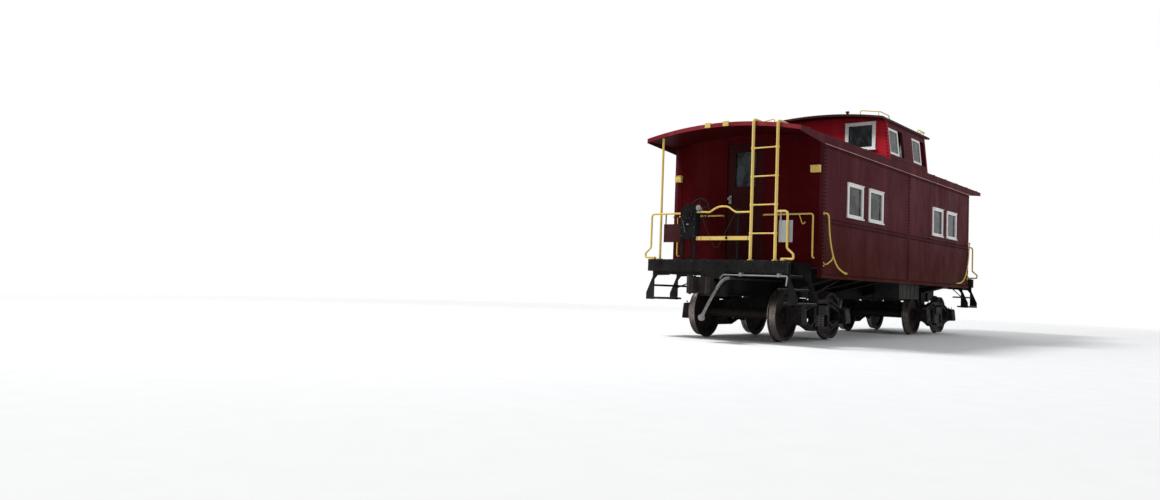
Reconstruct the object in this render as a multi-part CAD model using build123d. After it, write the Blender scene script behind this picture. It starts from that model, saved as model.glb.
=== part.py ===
from build123d import *
import os
from math import pi, radians, sqrt, tan

# Steel railway caboose with a centre cupola and two open end platforms.
# Millimetres. X runs along the car, Y across it, Z up. The origin is midway
# between the trucks, at the height of the wheel flanges' lowest points.
# Everything is modelled at the end towards -X and turned half round for the other end.

# Running gear
FLANGE_HEIGHT = 26
TREAD_RADIUS = 419
RIM_WIDTH = 140
FLANGE_WIDTH = 32
RIM_THICKNESS = 55
WHEEL_BACK_HALF = 680
HUB_RADIUS = 125
HUB_REACH = 28
AXLE_RADIUS = 80
JOURNAL_RADIUS = 64
JOURNAL_END = 1075
SHAFT_CLEARANCE = 0.05
RAIL_TOP = FLANGE_HEIGHT
AXLE_HEIGHT = RAIL_TOP + TREAD_RADIUS
HALF_WHEELBASE = 915

# Truck
SIDE_FRAME_Y = 985
SIDE_FRAME_THICKNESS = 110
SIDE_FRAME_WEB = 46
SIDE_FRAME_RIM = 26
SIDE_FRAME_TOP = RAIL_TOP + 705
JOURNAL_BOX_HALF = 132
JOURNAL_BOX_INNER = 872
JOURNAL_BOX_OUTER = 1128
JOURNAL_LID = 14
BOLSTER_WINDOW_HALF = 235
WINDOW_TOP_BAR = 65
SEAT_PLATE = 40
SEAT_OVERHANG = 40
SPRING_SEAT = RAIL_TOP + 240
BOLSTER_BOTTOM = RAIL_TOP + 440
BOLSTER_TOP = RAIL_TOP + 600
BOLSTER_HALF_WIDTH = 190
BOLSTER_REACH = 1060
BOLSTER_SHOULDER = 420
CENTRE_PLATE_RADIUS = 165
CENTRE_PLATE_SEAT = RAIL_TOP + 690
BOWL_DEPTH = 22
BOWL_WALL = 30
BOWL_CLEARANCE = 6
KING_PIN_RADIUS = 25
SPRING_RADIUS = 60
SPRING_WIRE_RADIUS = 13
SPRING_COILS = 5
SPRING_OFFSET = 78
SIDE_BEARING_Y = 640
SIDE_BEARING_HALF = 70
SIDE_BEARING_GAP = 8
SHOE_CLEARANCE = 8
SHOE_THICKNESS = 45
SHOE_WIDTH = 85
BEAM_RADIUS = 26
BEAM_TRUSS_DEPTH = 120

# Body shell
BODY_HALF_LENGTH = 4128
BODY_HALF_WIDTH = 1420
WALL = 60
INNER_HALF_WIDTH = BODY_HALF_WIDTH - WALL
SIDE_BOTTOM = RAIL_TOP + 1063
FLOOR_TOP = SIDE_BOTTOM + 230
FLOOR_THICKNESS = 60
FLOOR_UNDER = FLOOR_TOP - FLOOR_THICKNESS
BELT_HEIGHT = RAIL_TOP + 2000
SEAM_WIDTH = 90
SEAM_RELIEF = 6
FOOT_STRIP_HEIGHT = 38
TRUCK_SETBACK = 948
TRUCK_CENTRE = BODY_HALF_LENGTH - TRUCK_SETBACK

# Underframe
SILL_HALF_WIDTH = 165
SILL_BOTTOM = RAIL_TOP + 715
SILL_TOP = RAIL_TOP + 1045
SILL_WEB = 16
SILL_INNER = SILL_HALF_WIDTH - SILL_WEB
SILL_FLANGE = 100
SIDE_SILL_WIDTH = 60
SIDE_SILL_WEB = 12
SIDE_SILL_BOTTOM = SIDE_BOTTOM + 20
BEARER_SPACING = 950
BEARER_HALF = 60
BEARER_DROP = 80
BOLSTER_BEAM_HALF = 150
BOLSTER_BEAM_DROP = 40
BEAM_WEB = 20
BEAM_FLANGE = 16
STRIKER_HALF_WIDTH = 230
STRIKER_DROP = 15
COUPLER_PLAY = 45

# Roof
PLATFORM_LENGTH = 992
SILL_FACE = BODY_HALF_LENGTH + PLATFORM_LENGTH
ROOF_SETBACK = 82
ROOF_HALF_LENGTH = SILL_FACE - ROOF_SETBACK
EAVE_OVERHANG = 20
ROOF_HALF_WIDTH = BODY_HALF_WIDTH + EAVE_OVERHANG
SIDE_HEIGHT = 3334
ROOF_EDGE = RAIL_TOP + SIDE_HEIGHT
ROOF_RISE = 160
ROOF_THICKNESS = 68
ROOF_TOP_EDGE = ROOF_EDGE + ROOF_THICKNESS
PANEL_GAP = 0.4
EAVE_DROP = 91
EAVE_LINE = ROOF_EDGE - EAVE_DROP
EAVE_LEDGE = 10
RIB_WIDTH = 44
RIB_HEIGHT = 10
RIB_PITCH = 800
RIB_COUNT = 5

# Cupola
CUPOLA_HALF_LENGTH = 1120
CUPOLA_LEAN = 82
CUPOLA_TOP_HALF_WIDTH = BODY_HALF_WIDTH - CUPOLA_LEAN
CUPOLA_WALL = 50
CUPOLA_INNER_X = CUPOLA_HALF_LENGTH - CUPOLA_WALL
CUPOLA_EAVE_HEIGHT = 4150
CUPOLA_EAVE = RAIL_TOP + CUPOLA_EAVE_HEIGHT
CUPOLA_ROOF_OVERHANG = 255
CUPOLA_ROOF_HALF_LENGTH = CUPOLA_HALF_LENGTH + CUPOLA_ROOF_OVERHANG
CUPOLA_ROOF_HALF_WIDTH = CUPOLA_TOP_HALF_WIDTH + 24
CUPOLA_ROOF_RISE = 125
CUPOLA_ROOF_THICKNESS = 42
ROOF_RAIL_RADIUS = 10
ROOF_RAIL_HEIGHT = 85
ROOF_RAIL_INSET = 75
ROOF_RAIL_ALONG = 480
ROOF_RAIL_ACROSS = 390
VENT_RADIUS = 36
VENT_HEIGHT = 62
VENT_Y = 646

# Windows
WINDOW_WIDTH = 710
WINDOW_HEIGHT = 610
WINDOW_BOTTOM = RAIL_TOP + 2120
WINDOW_INNER_X = 1795
WINDOW_PITCH = 980
FRAME_BOARD = 46
FRAME_RELIEF = 18
FRAME_LINER = 18
FRAME_CAP = 14
GLASS = 8
GLASS_DEPTH = 16
CUPOLA_END_WINDOW_WIDTH = 600
CUPOLA_END_WINDOW_HEIGHT = 550
CUPOLA_END_WINDOW_BOTTOM = RAIL_TOP + 3598
CUPOLA_END_WINDOW_CENTRE = 840
CUPOLA_SIDE_WINDOW_BOTTOM = RAIL_TOP + 3520
CUPOLA_SIDE_WINDOW_TOP = RAIL_TOP + 4030
CUPOLA_SIDE_WINDOW_NEAR = 270
CUPOLA_SIDE_WINDOW_INSET = 25
CUPOLA_SIDE_WINDOW_FAR = CUPOLA_INNER_X - CUPOLA_SIDE_WINDOW_INSET
SASH_WIDTH = 520
SASH_SETBACK = 10

# Doors
DOORWAY_HALF = 350
DOORWAY_TOP = RAIL_TOP + 3360
CASING_WIDTH = 30
CASING_RELIEF = 8
DOOR_THICKNESS = 44
DOOR_GAP = 6
DOOR_WINDOW_HALF = 205
DOOR_WINDOW_BOTTOM = RAIL_TOP + 2590
DOOR_WINDOW_TOP = RAIL_TOP + 3220
DOOR_RAIL = 130
DOOR_STILE = 110
DOOR_PANEL_DEPTH = 10
HINGE_RADIUS = 11
HINGE_PIN_RADIUS = 6
HINGE_LENGTH = 90
HINGE_LEAF = 4
HINGE_LEAF_WIDTH = 60
HINGE_HEIGHTS = (1550, 2350, 3150)
KNOB_RADIUS = 28
KNOB_HEIGHT = RAIL_TOP + 2400
KNOB_SHAFT_RADIUS = 11
KNOB_REACH = 45

# Platforms
END_SILL_DEPTH = 100
END_SILL_BACK = SILL_FACE - END_SILL_DEPTH
END_SILL_HALF_WIDTH = BODY_HALF_WIDTH - 135
END_SILL_BOTTOM = RAIL_TOP + 1090
DECK_THICKNESS = 35
DECK_UNDER = FLOOR_TOP - DECK_THICKNESS
STEP_WELL_START = BODY_HALF_LENGTH + 72
STEP_WELL_END = SILL_FACE - 155
STEP_WELL_HALF_WIDTH = END_SILL_HALF_WIDTH - 345
STEP_PLATE = 12
STEP_TREAD_THICKNESS = 30
STEP_OUTER = BODY_HALF_WIDTH - 8
STEP_BOTTOM = RAIL_TOP + 605
DECK_EDGE_WIDTH = 50
DECK_BEAM_WIDTH = 60
BRACE_RADIUS = 11

# Railings, ladder and brake stand
RAILING_X = SILL_FACE - 52
RAIL_RADIUS = 17
RAILING_TOP = RAIL_TOP + 2068
RAILING_Y = END_SILL_HALF_WIDTH - 17
RAILING_SWING = 110
LADDER_RAIL_RADIUS = 24
LADDER_INSET = 644
LADDER_Y = END_SILL_HALF_WIDTH - LADDER_INSET
LADDER_WIDTH = 427
RUNG_RADIUS = 11
RUNG_START = RAIL_TOP + 1722
RUNG_PITCH = 455
RUNG_COUNT = 4
LADDER_HOOK = 190
FOOT_RADIUS = 50
FOOT_THICKNESS = 12
STAND_INSET = 768
STAND_CENTRE = END_SILL_HALF_WIDTH - STAND_INSET
STAND_HALF_WIDTH = 150
STAND_POST_OFFSET = 125
STAND_POST_HALF = 22
STAND_BOTTOM = RAIL_TOP + 1640
STAND_TOP = RAIL_TOP + 2225
STAND_DEPTH = 150
STAND_FRONT = RAILING_X + 35
STAND_BACK = STAND_FRONT - STAND_DEPTH
BRAKE_WHEEL_RADIUS = 190
BRAKE_WHEEL_RIM = 12
BRAKE_WHEEL_HEIGHT = RAIL_TOP + 2145
BRAKE_WHEEL_OFFSET = 100
BRAKE_WHEEL_Y = STAND_CENTRE - BRAKE_WHEEL_OFFSET
BRAKE_SHAFT_RADIUS = 20
BRAKE_SHAFT_REACH = 50
KICK_BAR_BOTTOM = RAIL_TOP + 1617
KICK_BAR_HEIGHT = 63
POLE_RADIUS = 20
POLE_Y = BODY_HALF_WIDTH - 290
VALVE_PIPE_Y = 388
VALVE_PIPE_RADIUS = 15
VALVE_PIPE_TOP = RAILING_TOP + 75

# Handrails
HANDRAIL_RADIUS = 14
HANDRAIL_STANDOFF = 72
HANDRAIL_TOP = RAIL_TOP + 2100
HANDRAIL_FOOT = RAIL_TOP + 1385
GRAB_RADIUS = 13
GRAB_STANDOFF = 60

# Coupler and air hose
COUPLER_HEIGHT = RAIL_TOP + 876
COUPLER_REACH = 520
COUPLER_FACE = SILL_FACE + COUPLER_REACH
SHANK_HALF = 65
HEAD_HALF_HEIGHT = 130
HEAD_ROUNDING = 14
KNUCKLE_HALF_HEIGHT = 140
HOSE_RADIUS = 24
HOSE_Y = -330
HOSE_EXIT_X = SILL_FACE + 70
PIPE_RADIUS = 21
PIPE_CLEARANCE = 0.3
PIPE_HEIGHT = RAIL_TOP + 1000
PIPE_CROSSING = -200
COCK_RADIUS = 34
LEVER_RADIUS = 11

# Under the floor
GEAR_Y = 620
GEAR_HEIGHT = RAIL_TOP + 875
CYLINDER_RADIUS = 150
CYLINDER_START = -640
CYLINDER_LENGTH = 400
CYLINDER_COLLAR = 60
CYLINDER_ROD_LENGTH = 170
TANK_RADIUS = 195
TANK_START = -80
TANK_LENGTH = 920
STRAP_WIDTH = 50
TANK_HEAD = 55
BOX_X = (-310, 860)
BOX_DEPTH = 480
BOX_BOTTOM = RAIL_TOP + 765
BOX_RIB = 8

os.makedirs("parts", exist_ok=True)


def write(name, shape):
    """Write one node"""
    export_step(shape, f"parts/{name}.step")


def block(x0, x1, y0, y1, z0, z1):
    """Block between two corners"""
    return Pos((x0 + x1) / 2, (y0 + y1) / 2, (z0 + z1) / 2) * Box(x1 - x0, y1 - y0, z1 - z0)


def group(*shapes):
    """Several solids that share a node"""
    return Compound([solid for shape in shapes for solid in shape.solids()])


def turned(shape):
    """The same piece at the other end of the car"""
    return shape.rotate(Axis.Z, 180)


def bar(points, radius, bend=60):
    """Round bar along a route with rounded corners"""
    route = Line(*points) if len(points) == 2 else FilletPolyline(*points, radius=bend)
    section = Plane(origin=route @ 0, z_dir=route % 0) * Circle(radius)
    return sweep(section, path=route)


def corner_radii(points):
    """Arc at each corner of a route: as large as its two runs allow"""
    places = [Vector(*p) for p in points]
    radii = []
    for before, here, after in zip(places, places[1:], places[2:]):
        half_turn = radians((here - before).get_angle(after - here)) / 2
        shorter = min((here - before).length, (after - here).length)
        radii.append(0.45 * shorter / tan(half_turn))
    return radii


def disc(centre, axis, radius, length):
    """Round disc or pin that starts at a point and runs along an axis"""
    plane = Plane(origin=centre, z_dir=axis)
    return extrude(plane * Circle(radius), amount=length)


def side_profile(points, y0, y1):
    """Plate cut to an outline of (x, z) points, between two places across the car"""
    outline = make_face(Polyline(*[(x, y0, z) for x, z in points], close=True))
    return extrude(outline, amount=y1 - y0, dir=(0, 1, 0))


def cross_profile(points, x0, x1):
    """Plate cut to an outline of (y, z) points, between two places along the car"""
    outline = make_face(Polyline(*[(x0, y, z) for y, z in points], close=True))
    return extrude(outline, amount=x1 - x0, dir=(1, 0, 0))


def arch(half_width, edge, rise, thickness, half_length):
    """Curved sheet that spans the car: its underside is an arc of the given rise"""
    low = ThreePointArc((0, -half_width, edge), (0, 0, edge + rise), (0, half_width, edge))
    high_edge = edge + thickness
    high = ThreePointArc((0, -half_width, high_edge), (0, 0, high_edge + rise), (0, half_width, high_edge))
    section = make_face(low + Line(low @ 1, high @ 1) + high + Line(high @ 0, low @ 0))
    return extrude(section, amount=half_length, both=True, dir=(1, 0, 0))


def arc_height(y, half_width, edge, rise):
    """Height of such an arc at a place across the car"""
    radius = (half_width ** 2 + rise ** 2) / (2 * rise)
    return edge + rise - radius + sqrt(radius ** 2 - y ** 2)


# Space above the roof's underside, below its top, and above the cupola roof's underside
TALL = 2000
above_roof_underside = arch(ROOF_HALF_WIDTH, ROOF_EDGE, ROOF_RISE, TALL, ROOF_HALF_LENGTH)
below_roof_top = arch(ROOF_HALF_WIDTH, ROOF_TOP_EDGE - TALL, ROOF_RISE, TALL, ROOF_HALF_LENGTH)
above_cupola = arch(CUPOLA_ROOF_HALF_WIDTH, CUPOLA_EAVE, CUPOLA_ROOF_RISE, TALL, CUPOLA_ROOF_HALF_LENGTH)


def pipe_holes():
    """Passages for the brake pipe, which crosses over through the centre sill"""
    hole = PIPE_RADIUS + PIPE_CLEARANCE
    holes = disc((-END_SILL_BACK, HOSE_Y, PIPE_HEIGHT), (1, 0, 0), hole, END_SILL_BACK + PIPE_CROSSING)
    holes += disc((END_SILL_BACK, -HOSE_Y, PIPE_HEIGHT), (-1, 0, 0), hole, END_SILL_BACK - PIPE_CROSSING)
    return holes + disc((PIPE_CROSSING, HOSE_Y, PIPE_HEIGHT), (0, 1, 0), hole, -2 * HOSE_Y)


def make_underframe():
    """Hat-shaped centre sill with its draft pockets, strikers, centre plates and king pins"""
    end = END_SILL_BACK
    frame = block(-end, end, -SILL_HALF_WIDTH, SILL_HALF_WIDTH, SILL_BOTTOM, SILL_TOP)
    frame -= block(-end, end, -SILL_INNER, SILL_INNER, SILL_BOTTOM, SILL_TOP - SILL_WEB)
    for side in (-1, 1):
        edges = sorted((side * SILL_INNER, side * (SILL_HALF_WIDTH + SILL_FLANGE)))
        frame += block(-end, end, edges[0], edges[1], SILL_BOTTOM, SILL_BOTTOM + SILL_WEB)
    plate_top = SILL_BOTTOM + BOLSTER_BEAM_DROP
    opening = SHANK_HALF + COUPLER_PLAY
    draft_gear = (end - 700, end - 450)
    for hand in (-1, 1):
        # Filled centre over the truck, with the round plate and the king pin below it
        x = hand * TRUCK_CENTRE
        frame += block(x - BOLSTER_BEAM_HALF, x + BOLSTER_BEAM_HALF, -SILL_INNER, SILL_INNER,
                       SILL_BOTTOM + SILL_WEB, SILL_TOP - SILL_WEB)
        frame += disc((x, 0, CENTRE_PLATE_SEAT), (0, 0, 1), CENTRE_PLATE_RADIUS, plate_top - CENTRE_PLATE_SEAT)
        frame += disc((x, 0, BOLSTER_BOTTOM + 20), (0, 0, 1), KING_PIN_RADIUS, plate_top - BOLSTER_BOTTOM - 20)
        # Striker round the coupler shank, with the shelf that carries it, and the draft gear
        xs = sorted((hand * SILL_FACE, hand * end))
        frame += block(xs[0], xs[1], -STRIKER_HALF_WIDTH, STRIKER_HALF_WIDTH, SILL_BOTTOM - STRIKER_DROP,
                       END_SILL_BOTTOM)
        frame -= block(xs[0], xs[1], -opening, opening, COUPLER_HEIGHT - SHANK_HALF, COUPLER_HEIGHT + opening)
        xs = sorted((hand * draft_gear[0], hand * draft_gear[1]))
        frame += block(xs[0], xs[1], -SILL_INNER, SILL_INNER, SILL_BOTTOM, SILL_TOP - SILL_WEB)
    return frame - pipe_holes()


def make_cross_bearer(x, half, drop, webs):
    """Tapered cross beam over the centre sill: its webs between a sloped lower and a level upper flange"""
    reach = INNER_HALF_WIDTH - SIDE_SILL_WIDTH
    bottom = SILL_BOTTOM + drop
    outline = [(-reach, SIDE_SILL_BOTTOM), (-SILL_HALF_WIDTH, bottom), (-SILL_HALF_WIDTH, SILL_TOP),
               (SILL_HALF_WIDTH, SILL_TOP), (SILL_HALF_WIDTH, bottom), (reach, SIDE_SILL_BOTTOM),
               (reach, FLOOR_UNDER), (-reach, FLOOR_UNDER)]
    beam = block(x - half, x + half, -reach, reach, FLOOR_UNDER - BEAM_FLANGE, FLOOR_UNDER)
    for web in webs:
        beam += cross_profile(outline, x + web - BEAM_WEB / 2, x + web + BEAM_WEB / 2)
    for side in (-1, 1):
        lower = [(side * SILL_HALF_WIDTH, bottom), (side * reach, SIDE_SILL_BOTTOM)]
        flange = lower + [(y, z + BEAM_FLANGE) for y, z in reversed(lower)]
        beam += cross_profile(flange, x - half, x + half)
    return beam


def make_cross_bearers():
    """Four cross bearers, and the two bolster beams with the side bearings over the trucks"""
    places = [step * BEARER_SPACING for step in (-2, -1, 1, 2)]
    beams = [make_cross_bearer(x, BEARER_HALF, BEARER_DROP, (0,)) for x in places]
    edge = BOLSTER_BEAM_HALF - BEAM_WEB / 2
    for x in (-TRUCK_CENTRE, TRUCK_CENTRE):
        beam = make_cross_bearer(x, BOLSTER_BEAM_HALF, BOLSTER_BEAM_DROP, (-edge, edge))
        for y in (-SIDE_BEARING_Y, SIDE_BEARING_Y):
            beam += block(x - BOLSTER_BEAM_HALF, x + BOLSTER_BEAM_HALF, y - SIDE_BEARING_HALF,
                          y + SIDE_BEARING_HALF, CENTRE_PLATE_SEAT + BOWL_DEPTH + SIDE_BEARING_GAP, SILL_TOP)
        beams.append(beam)
    return group(*[beam - pipe_holes() for beam in beams])


def make_side_sills():
    """Channel under each side of the floor"""
    pieces = []
    for side in (-1, 1):
        inner = INNER_HALF_WIDTH - SIDE_SILL_WIDTH
        ys = sorted((side * INNER_HALF_WIDTH, side * inner))
        hollow = sorted((side * (INNER_HALF_WIDTH - SIDE_SILL_WEB), side * inner))
        sill = block(-BODY_HALF_LENGTH, BODY_HALF_LENGTH, ys[0], ys[1], SIDE_SILL_BOTTOM, FLOOR_UNDER)
        sill -= block(-BODY_HALF_LENGTH, BODY_HALF_LENGTH, hollow[0], hollow[1],
                      SIDE_SILL_BOTTOM + SIDE_SILL_WEB, FLOOR_UNDER - SIDE_SILL_WEB)
        pieces.append(sill)
    return group(*pieces)


def make_floor():
    """Cabin floor on the bearers, between the end walls"""
    end = BODY_HALF_LENGTH - WALL
    return block(-end, end, -INNER_HALF_WIDTH, INNER_HALF_WIDTH, FLOOR_UNDER, FLOOR_TOP)


def window_centres():
    """Places of the four windows along a side"""
    far = WINDOW_INNER_X + WINDOW_PITCH
    return (-far, -WINDOW_INNER_X, WINDOW_INNER_X, far)


def make_side_wall():
    """Side wall towards -Y with its four window openings and riveted seam strips"""
    outer = -BODY_HALF_WIDTH
    wall = block(-BODY_HALF_LENGTH, BODY_HALF_LENGTH, outer, outer + WALL, SIDE_BOTTOM, ROOF_EDGE + ROOF_RISE)
    wall -= above_roof_underside
    face = outer - SEAM_RELIEF
    wall += block(-BODY_HALF_LENGTH, BODY_HALF_LENGTH, face, outer, BELT_HEIGHT - SEAM_WIDTH / 2,
                  BELT_HEIGHT + SEAM_WIDTH / 2)
    for x in (-BODY_HALF_LENGTH + SEAM_WIDTH / 2, 0, BODY_HALF_LENGTH - SEAM_WIDTH / 2):
        wall += block(x - SEAM_WIDTH / 2, x + SEAM_WIDTH / 2, face, outer, SIDE_BOTTOM, EAVE_LINE)
    wall += block(-BODY_HALF_LENGTH, BODY_HALF_LENGTH, outer - 2 * SEAM_RELIEF, outer, SIDE_BOTTOM,
                  SIDE_BOTTOM + FOOT_STRIP_HEIGHT)
    half = WINDOW_WIDTH / 2 - FRAME_BOARD
    for x in window_centres():
        wall -= block(x - half, x + half, outer - FRAME_RELIEF, outer + WALL, WINDOW_BOTTOM + FRAME_BOARD,
                      WINDOW_BOTTOM + WINDOW_HEIGHT - FRAME_BOARD)
    return wall


def make_end_wall():
    """End wall towards -X with its doorway, corner strips, door casing and fixed hinge leaves"""
    x0 = -BODY_HALF_LENGTH
    wall = block(x0, x0 + WALL, -INNER_HALF_WIDTH, INNER_HALF_WIDTH, FLOOR_UNDER, ROOF_EDGE + ROOF_RISE)
    for side in (-1, 1):
        ys = sorted((side * INNER_HALF_WIDTH, side * (INNER_HALF_WIDTH - SEAM_WIDTH)))
        wall += block(x0 - SEAM_RELIEF, x0, ys[0], ys[1], FLOOR_TOP, ROOF_EDGE + ROOF_RISE)
    wall -= above_roof_underside
    cased = DOORWAY_HALF + CASING_WIDTH
    wall += block(x0 - CASING_RELIEF, x0, -cased, cased, FLOOR_TOP, DOORWAY_TOP + CASING_WIDTH)
    wall -= block(x0 - CASING_RELIEF, x0 + WALL, -DOORWAY_HALF, DOORWAY_HALF, FLOOR_TOP, DOORWAY_TOP)
    inside = x0 + WALL
    hinge_x = inside + HINGE_RADIUS + 1
    for z in HINGE_HEIGHTS:
        low = RAIL_TOP + z - HINGE_LENGTH / 2
        leaf = block(inside, inside + HINGE_LEAF, -DOORWAY_HALF - HINGE_LEAF_WIDTH,
                     -DOORWAY_HALF - HINGE_RADIUS - 3, low, low + HINGE_LENGTH)
        knuckle = disc((hinge_x, -DOORWAY_HALF, low), (0, 0, 1), HINGE_RADIUS, HINGE_LENGTH / 3)
        pin = disc((hinge_x, -DOORWAY_HALF, low), (0, 0, 1), HINGE_PIN_RADIUS, HINGE_LENGTH)
        tie = block(inside, hinge_x, -DOORWAY_HALF - 20, -DOORWAY_HALF - DOOR_GAP / 2, low,
                    low + HINGE_LENGTH / 3)
        wall += leaf + knuckle + pin + tie
    return wall


def make_door():
    """Door towards -X: a panel with a window, its hinge knuckles and its knob"""
    x1 = -BODY_HALF_LENGTH + WALL
    x0 = x1 - DOOR_THICKNESS
    half = DOORWAY_HALF - DOOR_GAP
    door = block(x0, x1, -half, half, FLOOR_TOP + DOOR_GAP, DOORWAY_TOP - DOOR_GAP)
    door -= block(x0, x1, -DOOR_WINDOW_HALF, DOOR_WINDOW_HALF, DOOR_WINDOW_BOTTOM, DOOR_WINDOW_TOP)
    door -= block(x0, x0 + DOOR_PANEL_DEPTH, -half + DOOR_STILE, half - DOOR_STILE, FLOOR_TOP + DOOR_RAIL,
                  DOOR_WINDOW_BOTTOM - DOOR_RAIL)
    hinge_x = x1 + HINGE_RADIUS + 1
    knuckle_gap = 0.5
    for z in HINGE_HEIGHTS:
        low = RAIL_TOP + z - HINGE_LENGTH / 2 + HINGE_LENGTH / 3 + knuckle_gap
        length = HINGE_LENGTH * 2 / 3 - knuckle_gap
        leaf = block(x1, x1 + HINGE_LEAF, -half, -half + HINGE_LEAF_WIDTH, low, low + length)
        tie = block(x1, hinge_x, -half, -half + 14, low, low + length)
        knuckle = disc((hinge_x, -DOORWAY_HALF, low), (0, 0, 1), HINGE_RADIUS, length)
        door += leaf + tie + knuckle
        door -= disc((hinge_x, -DOORWAY_HALF, low), (0, 0, 1), HINGE_PIN_RADIUS + SHAFT_CLEARANCE, length)
    knob_y = half - DOOR_STILE / 2
    for x, axis in ((x0, -1), (x1, 1)):
        door += disc((x, knob_y, KNOB_HEIGHT), (axis, 0, 0), KNOB_SHAFT_RADIUS, KNOB_REACH)
        door += Pos(x + axis * KNOB_REACH, knob_y, KNOB_HEIGHT) * Sphere(KNOB_RADIUS)
    return door


def make_door_glass():
    """Pane of the door towards -X"""
    x = -BODY_HALF_LENGTH + WALL - DOOR_THICKNESS / 2
    return block(x - GLASS / 2, x + GLASS / 2, -DOOR_WINDOW_HALF, DOOR_WINDOW_HALF, DOOR_WINDOW_BOTTOM,
                 DOOR_WINDOW_TOP)


def make_roof():
    """Arched roof: a ribbed panel before and behind the cupola and a strip along each side of it"""
    roof = arch(ROOF_HALF_WIDTH, ROOF_EDGE, ROOF_RISE, ROOF_THICKNESS, ROOF_HALF_LENGTH)
    for hand in (-1, 1):
        for count in range(RIB_COUNT):
            rib = arch(ROOF_HALF_WIDTH, ROOF_EDGE, ROOF_RISE, ROOF_THICKNESS + RIB_HEIGHT, RIB_WIDTH / 2)
            roof += rib.moved(Location((hand * (CUPOLA_HALF_LENGTH + RIB_PITCH * (count + 0.5)), 0, 0)))
    inner_y = BODY_HALF_WIDTH - 2 * WALL
    low = ROOF_EDGE - WALL
    roof -= block(-CUPOLA_INNER_X, CUPOLA_INNER_X, -inner_y, inner_y, low, ROOF_EDGE + TALL)
    for x in (-CUPOLA_INNER_X, CUPOLA_INNER_X):
        roof -= block(x - PANEL_GAP / 2, x + PANEL_GAP / 2, -ROOF_HALF_WIDTH, ROOF_HALF_WIDTH, low,
                      ROOF_EDGE + TALL)
    return roof


def make_eave_plates():
    """Plate along each eave, deeper beside the body, with a ledge on its lower edge"""
    deep = EAVE_LINE
    plate = [(-ROOF_HALF_LENGTH, ROOF_EDGE - EAVE_LEDGE), (-BODY_HALF_LENGTH, deep), (BODY_HALF_LENGTH, deep),
             (ROOF_HALF_LENGTH, ROOF_EDGE - EAVE_LEDGE), (ROOF_HALF_LENGTH, ROOF_EDGE),
             (-ROOF_HALF_LENGTH, ROOF_EDGE)]
    pieces = []
    for side in (-1, 1):
        ys = sorted((side * (BODY_HALF_WIDTH + SEAM_RELIEF), side * ROOF_HALF_WIDTH))
        piece = side_profile(plate, ys[0], ys[1])
        over_wall = sorted((side * BODY_HALF_WIDTH, side * ROOF_HALF_WIDTH))
        piece += block(-BODY_HALF_LENGTH, BODY_HALF_LENGTH, over_wall[0], over_wall[1], deep, ROOF_EDGE)
        ledge = sorted((side * ROOF_HALF_WIDTH, side * (ROOF_HALF_WIDTH + EAVE_LEDGE)))
        piece += block(-BODY_HALF_LENGTH, BODY_HALF_LENGTH, ledge[0], ledge[1], deep, deep + EAVE_LEDGE)
        pieces.append(piece)
    return group(*pieces)


def lean(z):
    """Half width of the cupola's outer side at a height"""
    share = (z - ROOF_TOP_EDGE) / (CUPOLA_EAVE - ROOF_TOP_EDGE)
    return BODY_HALF_WIDTH - CUPOLA_LEAN * share


def make_cupola_end():
    """Cupola wall towards -X with its two windows"""
    low = ROOF_EDGE
    high = CUPOLA_EAVE + CUPOLA_ROOF_RISE
    wall = cross_profile([(-lean(low), low), (lean(low), low), (lean(high), high), (-lean(high), high)],
                         -CUPOLA_HALF_LENGTH, -CUPOLA_HALF_LENGTH + CUPOLA_WALL)
    wall -= below_roof_top
    wall -= above_cupola
    half = CUPOLA_END_WINDOW_WIDTH / 2 - FRAME_BOARD
    for y in (-CUPOLA_END_WINDOW_CENTRE, CUPOLA_END_WINDOW_CENTRE):
        wall -= block(-CUPOLA_HALF_LENGTH, -CUPOLA_HALF_LENGTH + CUPOLA_WALL, y - half, y + half,
                      CUPOLA_END_WINDOW_BOTTOM + FRAME_BOARD,
                      CUPOLA_END_WINDOW_BOTTOM + CUPOLA_END_WINDOW_HEIGHT - FRAME_BOARD)
    return wall


def make_cupola_side():
    """Leaning cupola wall towards -Y with its two window openings"""
    low = ROOF_EDGE
    high = CUPOLA_EAVE + CUPOLA_ROOF_RISE
    wall = cross_profile([(-lean(low), low), (-lean(low) + CUPOLA_WALL, low),
                          (-lean(high) + CUPOLA_WALL, high), (-lean(high), high)],
                         -CUPOLA_INNER_X, CUPOLA_INNER_X)
    wall -= below_roof_top
    wall -= above_cupola
    for x0, x1 in cupola_openings():
        wall -= block(x0, x1, -BODY_HALF_WIDTH, -CUPOLA_TOP_HALF_WIDTH + 2 * CUPOLA_WALL,
                      CUPOLA_SIDE_WINDOW_BOTTOM, CUPOLA_SIDE_WINDOW_TOP)
    return wall


def cupola_openings():
    """Start and end along the car of the two openings in a cupola side"""
    near = CUPOLA_SIDE_WINDOW_NEAR
    far = CUPOLA_SIDE_WINDOW_FAR
    return ((-far, -near), (near, far))


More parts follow.
